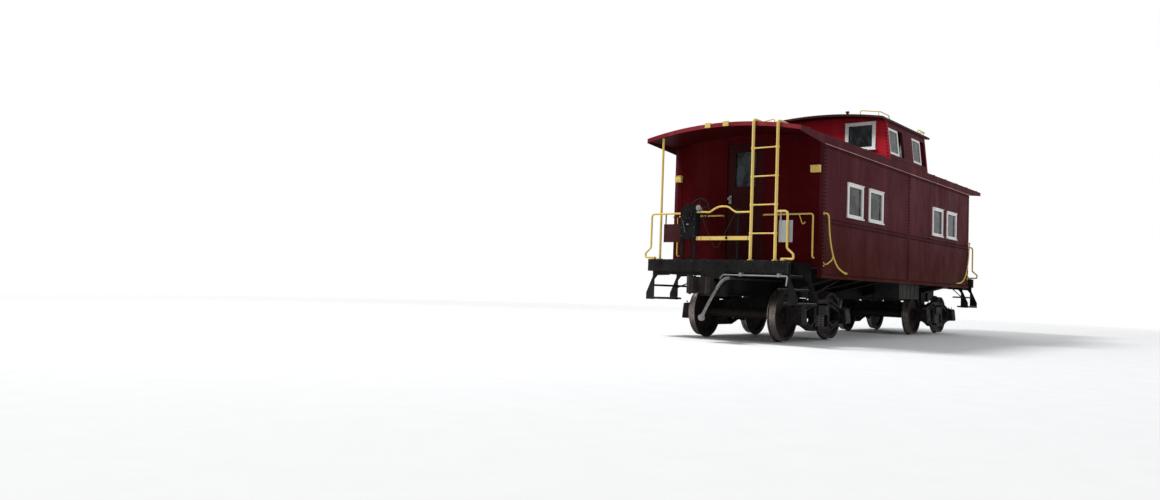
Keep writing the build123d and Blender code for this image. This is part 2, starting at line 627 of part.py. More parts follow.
def make_cupola_roof():
    """Arched cupola roof with overhanging eaves and a low vent cap near each end"""
    roof = arch(CUPOLA_ROOF_HALF_WIDTH, CUPOLA_EAVE, CUPOLA_ROOF_RISE, CUPOLA_ROOF_THICKNESS,
                CUPOLA_ROOF_HALF_LENGTH)
    top = arc_height(VENT_Y, CUPOLA_ROOF_HALF_WIDTH, CUPOLA_EAVE + CUPOLA_ROOF_THICKNESS, CUPOLA_ROOF_RISE)
    x = CUPOLA_ROOF_HALF_LENGTH - ROOF_RAIL_INSET
    for hand in (-1, 1):
        foot = (hand * x, hand * VENT_Y, top - CUPOLA_ROOF_THICKNESS / 2)
        roof += disc(foot, (0, 0, 1), VENT_RADIUS * 0.6, CUPOLA_ROOF_THICKNESS / 2 + VENT_HEIGHT)
        roof += disc((foot[0], foot[1], top + VENT_HEIGHT / 2), (0, 0, 1), VENT_RADIUS, VENT_HEIGHT / 2)
    return roof


def make_roof_rails():
    """Low grab rail round each corner of the cupola roof"""
    rails = []
    x = CUPOLA_ROOF_HALF_LENGTH - ROOF_RAIL_INSET
    y = CUPOLA_ROOF_HALF_WIDTH - ROOF_RAIL_INSET
    edge = CUPOLA_EAVE + CUPOLA_ROOF_THICKNESS
    seat = arc_height(y, CUPOLA_ROOF_HALF_WIDTH, edge, CUPOLA_ROOF_RISE)
    inner_seat = arc_height(y - ROOF_RAIL_ACROSS, CUPOLA_ROOF_HALF_WIDTH, edge, CUPOLA_ROOF_RISE)
    below_top = arch(CUPOLA_ROOF_HALF_WIDTH, edge - TALL, CUPOLA_ROOF_RISE, TALL, CUPOLA_ROOF_HALF_LENGTH)
    deep = CUPOLA_ROOF_THICKNESS / 2
    for hand in (-1, 1):
        for side in (-1, 1):
            inner_y = side * (y - ROOF_RAIL_ACROSS)
            route = [(hand * x, inner_y, inner_seat - deep),
                     (hand * x, inner_y, inner_seat + ROOF_RAIL_HEIGHT),
                     (hand * x, side * y, seat + ROOF_RAIL_HEIGHT),
                     (hand * (x - ROOF_RAIL_ALONG), side * y, seat + ROOF_RAIL_HEIGHT),
                     (hand * (x - ROOF_RAIL_ALONG), side * y, seat - deep)]
            rail = bar(route, ROOF_RAIL_RADIUS, bend=[30, 30, 60])
            rail += bar([(hand * x, side * (y - 30), seat - deep),
                         (hand * x, side * (y - 30), seat + ROOF_RAIL_HEIGHT)], ROOF_RAIL_RADIUS * 0.8)
            rails.append(rail - below_top)
    return group(*rails)


def window_frame(width, height, depth):
    """Frame with its boards on the wall's face at y = 0, its sill and its liner through the wall towards +Y"""
    half = width / 2
    frame = block(-half, half, -FRAME_RELIEF, 0, 0, height)
    frame += block(-half - FRAME_CAP, half + FRAME_CAP, -2 * FRAME_RELIEF, 0, 0, FRAME_BOARD / 2)
    frame += block(-half - FRAME_CAP / 2, half + FRAME_CAP / 2, -FRAME_RELIEF - FRAME_CAP, 0,
                   height - FRAME_CAP, height)
    frame += block(-half + FRAME_BOARD, half - FRAME_BOARD, 0, depth, FRAME_BOARD, height - FRAME_BOARD)
    hole = half - FRAME_BOARD - FRAME_LINER
    inset = FRAME_BOARD + FRAME_LINER
    return frame - block(-hole, hole, -FRAME_RELIEF, depth, inset, height - inset)


def window_pane(width, height, depth):
    """Glass that fills such a frame, near the wall's outer face"""
    hole = width / 2 - FRAME_BOARD - FRAME_LINER
    inset = FRAME_BOARD + FRAME_LINER
    middle = min(GLASS_DEPTH, depth / 2)
    return block(-hole, hole, middle - GLASS / 2, middle + GLASS / 2, inset, height - inset)


def side_window_places():
    """Places of the windows in the side wall towards -Y"""
    return [Pos(x, -BODY_HALF_WIDTH, WINDOW_BOTTOM) for x in window_centres()]


def cupola_end_places():
    """Places of the windows in the cupola wall towards -X"""
    return [Pos(-CUPOLA_HALF_LENGTH, y, CUPOLA_END_WINDOW_BOTTOM) * Rot(0, 0, -90)
            for y in (-CUPOLA_END_WINDOW_CENTRE, CUPOLA_END_WINDOW_CENTRE)]


def leaning_plate(near, far, x0, x1):
    """Plate that leans with the cupola side towards -Y, between two depths into its wall"""
    low = CUPOLA_SIDE_WINDOW_BOTTOM
    high = CUPOLA_SIDE_WINDOW_TOP
    outline = [(-lean(low) + near, low), (-lean(low) + far, low), (-lean(high) + far, high),
               (-lean(high) + near, high)]
    return cross_profile(outline, x0, x1)


def make_sash(pane_only):
    """Sliding sash, or its glass, in each opening of the cupola side towards -Y"""
    pieces = []
    middle = CUPOLA_WALL / 2
    for x0, x1 in cupola_openings():
        end = x0 + min(SASH_WIDTH, x1 - x0)
        window = block(x0 + FRAME_BOARD, end - FRAME_BOARD, -BODY_HALF_WIDTH, 0,
                       CUPOLA_SIDE_WINDOW_BOTTOM + FRAME_BOARD, CUPOLA_SIDE_WINDOW_TOP - FRAME_BOARD)
        if pane_only:
            pieces.append(leaning_plate(middle - GLASS / 2, middle + GLASS / 2, x0, end) & window)
        else:
            pieces.append(leaning_plate(SASH_SETBACK, CUPOLA_WALL - SASH_SETBACK, x0, end) - window)
    return group(*pieces)


def make_platform():
    """Deck with its channel end sill, beams and step wells, at the end towards -X"""
    deck = block(-END_SILL_BACK, -BODY_HALF_LENGTH, -END_SILL_HALF_WIDTH, END_SILL_HALF_WIDTH, DECK_UNDER,
                 FLOOR_TOP)
    for side in (-1, 1):
        ys = sorted((side * STEP_WELL_HALF_WIDTH, side * END_SILL_HALF_WIDTH))
        deck -= block(-STEP_WELL_END, -STEP_WELL_START, ys[0], ys[1], DECK_UNDER, FLOOR_TOP)
        edge = sorted((side * STEP_WELL_HALF_WIDTH, side * (STEP_WELL_HALF_WIDTH - DECK_EDGE_WIDTH)))
        deck += block(-END_SILL_BACK, -BODY_HALF_LENGTH, edge[0], edge[1], END_SILL_BOTTOM + 40, DECK_UNDER)
        bearer = STEP_WELL_HALF_WIDTH / 2
        ys = sorted((side * bearer, side * (bearer + DECK_BEAM_WIDTH)))
        deck += block(-END_SILL_BACK, -BODY_HALF_LENGTH, ys[0], ys[1], END_SILL_BOTTOM, DECK_UNDER)
    deck += block(-SILL_FACE, -END_SILL_BACK, -END_SILL_HALF_WIDTH, END_SILL_HALF_WIDTH, END_SILL_BOTTOM,
                  FLOOR_TOP)
    middle = (END_SILL_BACK + BODY_HALF_LENGTH) / 2
    beam = DECK_BEAM_WIDTH
    for x0 in (END_SILL_BACK, middle + beam / 2, BODY_HALF_LENGTH + beam):
        deck += block(-x0, -x0 + beam, -STEP_WELL_HALF_WIDTH, STEP_WELL_HALF_WIDTH, SILL_TOP, DECK_UNDER)
    return deck


def make_steps():
    """Two flights of steps at the corners of the platform towards -X, each braced to the side sill"""
    # Columns: top of the tread over the rail, its inner edge from the centre line, and its depth
    treads = ((1078, STEP_WELL_HALF_WIDTH + 15, 210), (860, STEP_WELL_HALF_WIDTH + 120, 230),
              (642, STEP_WELL_HALF_WIDTH + 225, 240))
    leg = END_SILL_HALF_WIDTH - 35
    rod_top = SIDE_SILL_BOTTOM - BRACE_RADIUS - 4
    rod_y = INNER_HALF_WIDTH - SIDE_SILL_WIDTH / 2
    flights = []
    for side in (-1, 1):
        # Hanger plates, wide at the deck and narrow below, at both ends of the treads
        outline = ((STEP_WELL_HALF_WIDTH, FLOOR_TOP), (STEP_WELL_HALF_WIDTH, RAIL_TOP + 1030),
                   (leg - 60, RAIL_TOP + 1020), (leg, RAIL_TOP + 950), (leg, STEP_BOTTOM),
                   (STEP_OUTER, STEP_BOTTOM), (STEP_OUTER, RAIL_TOP + 720),
                   (END_SILL_HALF_WIDTH, RAIL_TOP + 1000), (END_SILL_HALF_WIDTH, FLOOR_TOP))
        flight = Part()
        for x in (-STEP_WELL_END, -STEP_WELL_START - STEP_PLATE):
            flight += cross_profile([(side * y, z) for y, z in outline], x, x + STEP_PLATE)
        for top, inner, depth in treads:
            ys = sorted((side * inner, side * (inner + depth)))
            flight += block(-STEP_WELL_END + STEP_PLATE, -STEP_WELL_START - STEP_PLATE, ys[0], ys[1],
                            RAIL_TOP + top - STEP_TREAD_THICKNESS, RAIL_TOP + top)
        # Brackets that carry the treads' inner corners, and the brace rod
        foot = (-STEP_WELL_START - STEP_PLATE, side * rod_y, RAIL_TOP + 790)
        head = (-STEP_WELL_START + 1090, side * rod_y, rod_top)
        flight += bar([foot, head], BRACE_RADIUS)
        flight += block(head[0] - 20, head[0] + 40, head[1] - 20, head[1] + 20, rod_top - BRACE_RADIUS - 4,
                        SIDE_SILL_BOTTOM)
        flights.append(flight)
    return group(*flights)


def make_railings():
    """Corner railings, bowed centre rail, kick bar and roof pole at the end towards -X"""
    x = -RAILING_X
    base = FLOOR_TOP
    ladder_outer = LADDER_Y + LADDER_WIDTH + LADDER_RAIL_RADIUS
    ladder_inner = LADDER_Y - LADDER_RAIL_RADIUS
    stand_outer = STAND_CENTRE + STAND_HALF_WIDTH
    foot_z = base + FOOT_THICKNESS + RAIL_RADIUS
    swing = RAILING_Y + RAILING_SWING
    pieces = []
    # Columns: side, where the top rail starts
    for side, start in ((-1, ladder_outer), (1, stand_outer + PIPE_CLEARANCE)):
        route = [(x, side * start, RAILING_TOP), (x, side * RAILING_Y, RAILING_TOP),
                 (x, side * RAILING_Y, RAIL_TOP + 1490), (x, side * swing, RAIL_TOP + 1395),
                 (x, side * swing, foot_z), (x, side * (RAILING_Y - 90), foot_z)]
        rail = bar(route, RAIL_RADIUS, bend=[55, 60, 45, 28])
        ys = sorted((side * (RAILING_Y - 95), side * (RAILING_Y - 35)))
        rail += block(x - 2 * RAIL_RADIUS, x + 2 * RAIL_RADIUS, ys[0], ys[1], base, base + 2 * RAIL_RADIUS)
        pieces.append(rail)
    stand_inner = STAND_CENTRE - STAND_HALF_WIDTH
    # Columns: place across the car, height over the top rail
    bow = ((stand_inner, 20), (stand_inner - 60, 20), (118, 8), (42, 62), (-60, 102), (-215, 98), (-310, 30),
           (-365, 0), (-ladder_inner, 0))
    route = [(x, y, RAILING_TOP + rise) for y, rise in bow]
    pieces.append(bar(route, RAIL_RADIUS * 0.85, bend=corner_radii(route)))
    pieces.append(block(x - 8, x + 8, -ladder_inner, stand_inner, KICK_BAR_BOTTOM,
                        KICK_BAR_BOTTOM + KICK_BAR_HEIGHT))
    pole_x = x + 78
    pole_top = arc_height(POLE_Y + POLE_RADIUS, ROOF_HALF_WIDTH, ROOF_EDGE, ROOF_RISE) - PIPE_CLEARANCE
    pole = bar([(pole_x, POLE_Y, base), (pole_x, POLE_Y, pole_top)], POLE_RADIUS)
    pole += disc((pole_x, POLE_Y, base), (0, 0, 1), FOOT_RADIUS, FOOT_THICKNESS)
    pieces.append(pole)
    return group(*pieces)


def make_valve_pipe():
    """Air pipe with its valve, standing beside the centre rail at the end towards -X"""
    x = -RAILING_X + RAIL_RADIUS + VALVE_PIPE_RADIUS + PIPE_CLEARANCE
    y = -VALVE_PIPE_Y
    pipe = disc((x, y, FLOOR_TOP), (0, 0, 1), VALVE_PIPE_RADIUS, VALVE_PIPE_TOP - FLOOR_TOP)
    pipe += disc((x, y, FLOOR_TOP), (0, 0, 1), 2 * VALVE_PIPE_RADIUS, FOOT_THICKNESS)
    pipe += disc((x, y, VALVE_PIPE_TOP - 55), (0, 0, 1), VALVE_PIPE_RADIUS + 8, 45)
    pipe += disc((x, y, VALVE_PIPE_TOP - 32), (1, 0, 0), 8, 60)
    return pipe + block(x + 50, x + 60, y - 12, y + 90, VALVE_PIPE_TOP - 42, VALVE_PIPE_TOP - 22)


def make_ladder():
    """Ladder from the end sill over the roof's edge, at the end towards -X"""
    x = -RAILING_X
    inboard = -ROOF_HALF_LENGTH + LADDER_HOOK
    stringers = (-LADDER_Y, -LADDER_Y - LADDER_WIDTH)
    ladder = Part()
    for y in stringers:
        roof_top = arc_height(y, ROOF_HALF_WIDTH, ROOF_TOP_EDGE, ROOF_RISE)
        peak = roof_top + LADDER_RAIL_RADIUS
        route = [(x, y, FLOOR_TOP), (x, y, peak), (inboard, y, peak)]
        ladder += bar(route, LADDER_RAIL_RADIUS, bend=40)
        ladder += block(inboard - FOOT_RADIUS, inboard + FOOT_RADIUS, y - FOOT_RADIUS, y + FOOT_RADIUS,
                        roof_top - LADDER_RAIL_RADIUS, peak)
        ladder += disc((x, y, FLOOR_TOP), (0, 0, 1), FOOT_RADIUS, FOOT_THICKNESS)
    for count in range(RUNG_COUNT):
        z = RUNG_START + count * RUNG_PITCH
        ladder += bar([(x, stringers[0], z), (x, stringers[1], z)], RUNG_RADIUS)
    return ladder - below_roof_top


def make_brake_stand():
    """Arch-topped housing of the hand brake on its two posts, at the end towards -X"""
    back = -STAND_BACK
    front = -STAND_FRONT
    arc_start = STAND_TOP - STAND_HALF_WIDTH
    low = STAND_BOTTOM
    left = STAND_CENTRE - STAND_HALF_WIDTH
    right = STAND_CENTRE + STAND_HALF_WIDTH
    dome = ThreePointArc((front, left, arc_start), (front, STAND_CENTRE, STAND_TOP), (front, right, arc_start))
    base = Polyline((front, right, arc_start), (front, right, low), (front, left, low),
                    (front, left, arc_start))
    stand = extrude(make_face(dome + base), amount=STAND_DEPTH, dir=(1, 0, 0))
    # Gear cover on the front, posts, cross tie and the rod down to the deck
    cover_z = arc_start - 20
    stand += disc((front, STAND_CENTRE, cover_z), (-1, 0, 0), STAND_HALF_WIDTH * 0.62, 12)
    stand += disc((front - 12, STAND_CENTRE, cover_z), (-1, 0, 0), STAND_HALF_WIDTH * 0.25, 10)
    post_x = (-RAILING_X - 12, -RAILING_X + 24)
    for hand in (-1, 1):
        y = STAND_CENTRE + hand * STAND_POST_OFFSET
        stand += block(post_x[0], post_x[1], y - STAND_POST_HALF, y + STAND_POST_HALF, FLOOR_TOP, low)
    rod_x = -RAILING_X + 60
    stand += bar([(rod_x, STAND_CENTRE, FLOOR_TOP), (rod_x, STAND_CENTRE, low)], GRAB_RADIUS)
    return stand + disc((back, BRAKE_WHEEL_Y, BRAKE_WHEEL_HEIGHT), (1, 0, 0), BRAKE_SHAFT_RADIUS,
                        BRAKE_SHAFT_REACH)


def make_brake_wheel():
    """Hand brake wheel with its rim, dished spokes and hub, at the end towards -X"""
    x = -STAND_BACK + BRAKE_SHAFT_REACH
    z = BRAKE_WHEEL_HEIGHT
    rim_line = BRAKE_WHEEL_RADIUS - BRAKE_WHEEL_RIM
    rim_x = x + BRAKE_WHEEL_RIM
    wheel = Pos(rim_x, BRAKE_WHEEL_Y, z) * Rot(0, 90, 0) * Torus(rim_line, BRAKE_WHEEL_RIM)
    wheel += disc((x, BRAKE_WHEEL_Y, z), (1, 0, 0), 34, 42)
    spoke = bar([(x + 21, BRAKE_WHEEL_Y, z), (rim_x, BRAKE_WHEEL_Y, z + rim_line)], 9)
    for count in range(5):
        wheel += spoke.rotate(Axis((x, BRAKE_WHEEL_Y, z), (1, 0, 0)), 360 / 5 * count)
    return wheel


def make_handrails():
    """Two handrails on the end wall and the curved grab irons on the sides, at the end towards -X"""
    wall_x = -BODY_HALF_LENGTH
    off_x = wall_x - HANDRAIL_STANDOFF
    inner_y = DOORWAY_HALF + CASING_WIDTH + HANDRAIL_RADIUS + 1
    outer_y = INNER_HALF_WIDTH - 67
    # Columns: distance in from the body's end, height over the rail
    grab = ((43, 2112), (118, 2085), (140, 1940), (168, 1764), (235, 1580), (343, 1400), (490, 1265),
            (700, 1185), (928, 1156))
    branch = ((325, 1425), (262, 1352), (160, 1318), (82, 1285))
    pieces = []
    for side in (-1, 1):
        route = [(wall_x, side * inner_y, HANDRAIL_TOP), (off_x, side * inner_y, HANDRAIL_TOP),
                 (off_x, side * outer_y, HANDRAIL_TOP), (off_x, side * outer_y, HANDRAIL_FOOT),
                 (wall_x - SEAM_RELIEF, side * outer_y, HANDRAIL_FOOT)]
        pieces.append(bar(route, HANDRAIL_RADIUS, bend=40))
        strip = side * (BODY_HALF_WIDTH + SEAM_RELIEF)
        off = side * (BODY_HALF_WIDTH + GRAB_STANDOFF)
        route = [(wall_x + grab[0][0], strip, RAIL_TOP + grab[0][1])]
        route += [(wall_x + inset, off, RAIL_TOP + height) for inset, height in grab]
        route += [(wall_x + grab[-1][0], side * BODY_HALF_WIDTH, RAIL_TOP + grab[-1][1])]
        iron = bar(route, GRAB_RADIUS, bend=corner_radii(route))
        route = [(wall_x + inset, off, RAIL_TOP + height) for inset, height in branch]
        route += [(wall_x + branch[-1][0], strip, RAIL_TOP + branch[-1][1])]
        iron += bar(route, GRAB_RADIUS * 0.8, bend=corner_radii(route))
        pieces.append(iron)
    return group(*pieces)


def make_coupler():
    """Coupler head with its knuckle and shank, at the end towards -X"""
    shank = block(-SILL_FACE - 120, -END_SILL_BACK + 450, -SHANK_HALF, SHANK_HALF, COUPLER_HEIGHT - SHANK_HALF,
                  COUPLER_HEIGHT + SHANK_HALF)
    face = -COUPLER_FACE
    # Columns: along the car from the face, across it, going round from the shank
    head_outline = ((430, -SHANK_HALF), (300, -150), (100, -205), (-20, -265), (-60, -235), (10, -160),
                    (115, -105), (130, 40), (75, 130), (110, 200), (300, 165), (430, SHANK_HALF))
    knuckle_outline = ((118, 205), (60, 205), (-8, 165), (-42, 95), (-32, 35), (30, 15), (70, 35), (72, 95),
                       (130, 120))
    pieces = []
    for outline, half in ((head_outline, HEAD_HALF_HEIGHT), (knuckle_outline, KNUCKLE_HALF_HEIGHT)):
        low = COUPLER_HEIGHT - half
        section = make_face(Polyline(*[(face + x, y, low) for x, y in outline], close=True))
        section = fillet(section.vertices(), HEAD_ROUNDING)
        pieces.append(extrude(section, amount=2 * half, dir=(0, 0, 1)))
    pin = disc((face + 88, 160, COUPLER_HEIGHT - KNUCKLE_HALF_HEIGHT - 15), (0, 0, 1), 24,
               2 * KNUCKLE_HALF_HEIGHT + 30)
    lock_lift = disc((face + 250, 0, COUPLER_HEIGHT + HEAD_HALF_HEIGHT), (0, 0, 1), 38, 22)
    return shank + pieces[0] + pieces[1] + pin + lock_lift


def hose_route():
    """Route of the air hose from the angle cock at the end towards -X"""
    # Columns: outwards, across and down from the cock
    steps = ((0, 0, 0), (84, 3, 9), (163, 9, 40), (230, 20, 92), (280, 40, 158), (309, 70, 232),
             (318, 114, 316), (314, 165, 402), (303, 218, 488), (289, 270, 574))
    return [(-HOSE_EXIT_X - out, HOSE_Y + across, PIPE_HEIGHT - down) for out, across, down in steps]


def make_hose():
    """Air hose as a plain tube"""
    points = hose_route()
    radii = corner_radii(points)
    print("air hose radii", [round(r) for r in radii])
    path = FilletPolyline(*points, radius=radii)
    tube = sweep(Plane(origin=path @ 0, z_dir=path % 0) * Circle(HOSE_RADIUS), path=path)
    print("air hose length", round(path.length), "volume ratio",
          round(tube.volume / (pi * HOSE_RADIUS ** 2 * path.length), 4))
    return tube


def make_brake_pipe():
    """Brake pipe along the car, crossing through the centre sill, with an angle cock at each end"""
    points = hose_route()
    start = Vector(*points[0])
    direction = (Vector(*points[1]) - start).normalized()
    z = PIPE_HEIGHT
    nipple = 40
    cock = disc((-SILL_FACE - 55, HOSE_Y, z), (1, 0, 0), COCK_RADIUS, 45)
    cock += disc(start - direction * nipple, direction, HOSE_RADIUS, nipple)
    cock += block(-SILL_FACE - 50, -SILL_FACE - 20, HOSE_Y - 95, HOSE_Y, z - 8, z + 8)
    pipe = bar([(-SILL_FACE - 20, HOSE_Y, z), (PIPE_CROSSING, HOSE_Y, z), (PIPE_CROSSING, -HOSE_Y, z),
                (SILL_FACE + 20, -HOSE_Y, z)], PIPE_RADIUS, bend=100)
    return pipe + cock + turned(cock)


def make_glad_hand():
    """Fitting at the hose's free end"""
    points = hose_route()
    end = Vector(*points[-1])
    direction = (end - Vector(*points[-2])).normalized()
    head_at = end + direction * 80
    collar = disc(end, direction, HOSE_RADIUS + 4, 45)
    neck = disc(end + direction * 30, direction, 20, 40)
    head = disc(head_at - Vector(20, 0, 0), (1, 0, 0), 52, 40)
    gasket_ring = disc(head_at - Vector(26, 0, 0), (1, 0, 0), 34, 6)
    return collar + neck + head + gasket_ring


def make_lever():
    """Uncoupling lever hung under the end sill, from the coupler to the side towards -Y"""
    x = -SILL_FACE - 30
    z = END_SILL_BOTTOM - 38
    end_y = -END_SILL_HALF_WIDTH - 45
    route = [(x, -150, z - 60), (x, -210, z), (x, end_y, z), (x - 45, end_y, z - 150)]
    lever = bar(route, LEVER_RADIUS, bend=[30, 30])
    eye = LEVER_RADIUS + 7
    for y in (-520, end_y + 150):
        lever += block(x - eye, x + eye, y - 20, y + 20, z - eye, END_SILL_BOTTOM)
        lever += block(x - eye, x + 80, y - 20, y + 20, END_SILL_BOTTOM - 12, END_SILL_BOTTOM)
    return lever


def wheel_profile():
    """Half section of a wheel and axle as (distance across, radius) points, from the middle out"""
    back = WHEEL_BACK_HALF
    front = back + RIM_WIDTH
    rim_inner = TREAD_RADIUS - RIM_THICKNESS
    middle = back + RIM_WIDTH / 2
    return [(0, 0), (0, AXLE_RADIUS), (back - HUB_REACH, AXLE_RADIUS), (back - HUB_REACH, HUB_RADIUS),
            (back + 20, HUB_RADIUS + 20), (middle - 14, rim_inner - 30), (back, rim_inner),
            (back, TREAD_RADIUS + FLANGE_HEIGHT - 8), (back + 8, TREAD_RADIUS + FLANGE_HEIGHT),
            (back + 20, TREAD_RADIUS + FLANGE_HEIGHT - 2), (back + FLANGE_WIDTH, TREAD_RADIUS + 4),
            (back + FLANGE_WIDTH + 12, TREAD_RADIUS), (front, TREAD_RADIUS - 4), (front, rim_inner),
            (middle + 16, rim_inner - 30), (front - 40, HUB_RADIUS + 20), (front + HUB_REACH, HUB_RADIUS),
            (front + HUB_REACH, JOURNAL_RADIUS), (JOURNAL_END, JOURNAL_RADIUS), (JOURNAL_END, 0)]


def make_wheelset():
    """Axle with its two wheels, about the Y axis at the origin"""
    points = wheel_profile()
    half = make_face(Polyline(*[(r, y, 0) for y, r in points], close=True))
    one = revolve(half, axis=Axis.Y, revolution_arc=360)
    return one + one.mirror(Plane.XZ)


def side_face(points):
    """Flat outline of (x, height over the rail) points in the plane of the truck's side"""
    return make_face(Polyline(*[(x, 0, RAIL_TOP + z) for x, z in points], close=True))


def make_side_frame():
    """Cast side frame about Y = 0: a web inside raised rims, with its bolster window and end openings"""
    # Columns: along the truck, height over the rail, for half of the outline
    half = ((0, 705), (300, 705), (430, 680), (770, 575), (1050, 562), (1050, 290), (790, 278), (640, 250),
            (400, 170), (0, 170))
    outline = side_face(list(half) + [(-x, z) for x, z in reversed(half[1:-1])])
    seat = SPRING_SEAT - RAIL_TOP
    top = SIDE_FRAME_TOP - RAIL_TOP - WINDOW_TOP_BAR
    window = side_face([(-BOLSTER_WINDOW_HALF, seat), (-BOLSTER_WINDOW_HALF, top),
                        (BOLSTER_WINDOW_HALF, top), (BOLSTER_WINDOW_HALF, seat)])
    gap = ((320, 330), (320, 590), (440, 570), (720, 480), (720, 350), (600, 318), (440, 262))
    gaps = [side_face([(hand * x, z) for x, z in gap]) for hand in (-1, 1)]
    gaps = [fillet(face.vertices(), 22) for face in gaps]
    web = outline - window
    rims = outline - offset(outline, amount=-SIDE_FRAME_RIM, kind=Kind.INTERSECTION)
    for face in gaps:
        web -= face
        rims += offset(face, amount=SIDE_FRAME_RIM, kind=Kind.INTERSECTION) - face
    column = SIDE_FRAME_RIM * 1.6
    columns = side_face([(-BOLSTER_WINDOW_HALF - column, 200), (-BOLSTER_WINDOW_HALF - column, 690),
                         (BOLSTER_WINDOW_HALF + column, 690), (BOLSTER_WINDOW_HALF + column, 200)])
    rims += columns
    rims = (rims & outline) - window
    frame = extrude(web, amount=SIDE_FRAME_WEB / 2, both=True, dir=(0, 1, 0))
    return frame + extrude(rims, amount=SIDE_FRAME_THICKNESS / 2, both=True, dir=(0, 1, 0))


def make_journal_box(hand, side):
    """Journal box with its sloped, hinged lid, and the bore for the axle's journal"""
    x = hand * HALF_WHEELBASE
    low = AXLE_HEIGHT - JOURNAL_BOX_HALF
    high = AXLE_HEIGHT + JOURNAL_BOX_HALF
    slope = 24
    shell = [(JOURNAL_BOX_INNER, low), (JOURNAL_BOX_OUTER, low), (JOURNAL_BOX_OUTER - slope, high),
             (JOURNAL_BOX_INNER, high)]
    lid = [(JOURNAL_BOX_OUTER, low + 18), (JOURNAL_BOX_OUTER + JOURNAL_LID, low + 22),
           (JOURNAL_BOX_OUTER - slope + JOURNAL_LID, high - 22), (JOURNAL_BOX_OUTER - slope, high - 12)]
    box = cross_profile([(side * y, z) for y, z in shell], x - JOURNAL_BOX_HALF, x + JOURNAL_BOX_HALF)
    box += cross_profile([(side * y, z) for y, z in lid], x - JOURNAL_BOX_HALF + 22, x + JOURNAL_BOX_HALF - 22)
    box += disc((x - 70, side * (JOURNAL_BOX_OUTER - slope), high - 6), (1, 0, 0), 14, 140)
    return box - disc((x, side * JOURNAL_BOX_INNER, AXLE_HEIGHT), (0, side, 0),
                      JOURNAL_RADIUS + SHAFT_CLEARANCE, JOURNAL_END + 5 - JOURNAL_BOX_INNER)


def make_truck_frame():
    """Two cast side frames with journal boxes, and the bolster between them, about the origin"""
    side_frame = make_side_frame()
    pieces = []
    for side in (-1, 1):
        frame = side_frame.moved(Location((0, side * SIDE_FRAME_Y, 0)))
        for hand in (-1, 1):
            x = hand * HALF_WHEELBASE
            inner = sorted((side * JOURNAL_BOX_INNER, side * (JOURNAL_BOX_OUTER - 40)))
            frame -= block(x - JOURNAL_BOX_HALF, x + JOURNAL_BOX_HALF, inner[0], inner[1],
                           AXLE_HEIGHT - JOURNAL_BOX_HALF, AXLE_HEIGHT + JOURNAL_BOX_HALF)
            frame += make_journal_box(hand, side)
        half = SIDE_FRAME_THICKNESS / 2 + SEAT_OVERHANG
        y = side * SIDE_FRAME_Y
        frame += block(-BOLSTER_WINDOW_HALF, BOLSTER_WINDOW_HALF, y - half, y + half,
                       SPRING_SEAT - SEAT_PLATE, SPRING_SEAT)
        pieces.append(frame)
    shoulder = BOLSTER_SHOULDER
    bolster = cross_profile([(-BOLSTER_REACH, BOLSTER_BOTTOM), (BOLSTER_REACH, BOLSTER_BOTTOM),
                             (BOLSTER_REACH, BOLSTER_TOP), (shoulder, CENTRE_PLATE_SEAT),
                             (-shoulder, CENTRE_PLATE_SEAT), (-BOLSTER_REACH, BOLSTER_TOP)],
                            -BOLSTER_HALF_WIDTH, BOLSTER_HALF_WIDTH)
    bowl = disc((0, 0, CENTRE_PLATE_SEAT), (0, 0, 1), CENTRE_PLATE_RADIUS + BOWL_WALL, BOWL_DEPTH)
    bowl -= disc((0, 0, CENTRE_PLATE_SEAT), (0, 0, 1), CENTRE_PLATE_RADIUS + BOWL_CLEARANCE, BOWL_DEPTH)
    bolster += bowl
    for y in (-SIDE_BEARING_Y, SIDE_BEARING_Y):
        bolster += block(-110, 110, y - SIDE_BEARING_HALF, y + SIDE_BEARING_HALF, BOLSTER_TOP,
                         CENTRE_PLATE_SEAT + BOWL_DEPTH)
    bolster -= disc((0, 0, BOLSTER_BOTTOM), (0, 0, 1), KING_PIN_RADIUS + SHAFT_CLEARANCE,
                    CENTRE_PLATE_SEAT - BOLSTER_BOTTOM)
    pieces.append(bolster)
    return group(*pieces)


def make_springs():
    """Coil springs between the side frames' seats and the bolster, about the origin"""
    height = BOLSTER_BOTTOM - SPRING_SEAT
    coil_radius = SPRING_RADIUS - SPRING_WIRE_RADIUS
    pitch = (height - 2 * SPRING_WIRE_RADIUS) / (SPRING_COILS - 1)
    spring = disc((0, 0, 0), (0, 0, 1), coil_radius - SPRING_WIRE_RADIUS / 3, height)
    for count in range(SPRING_COILS):
        spring += Pos(0, 0, SPRING_WIRE_RADIUS + count * pitch) * Torus(coil_radius, SPRING_WIRE_RADIUS)
    return group(*[spring.moved(Location((x, y, SPRING_SEAT))) for x in (-SPRING_OFFSET, SPRING_OFFSET)
                   for y in (-SIDE_FRAME_Y, SIDE_FRAME_Y)])


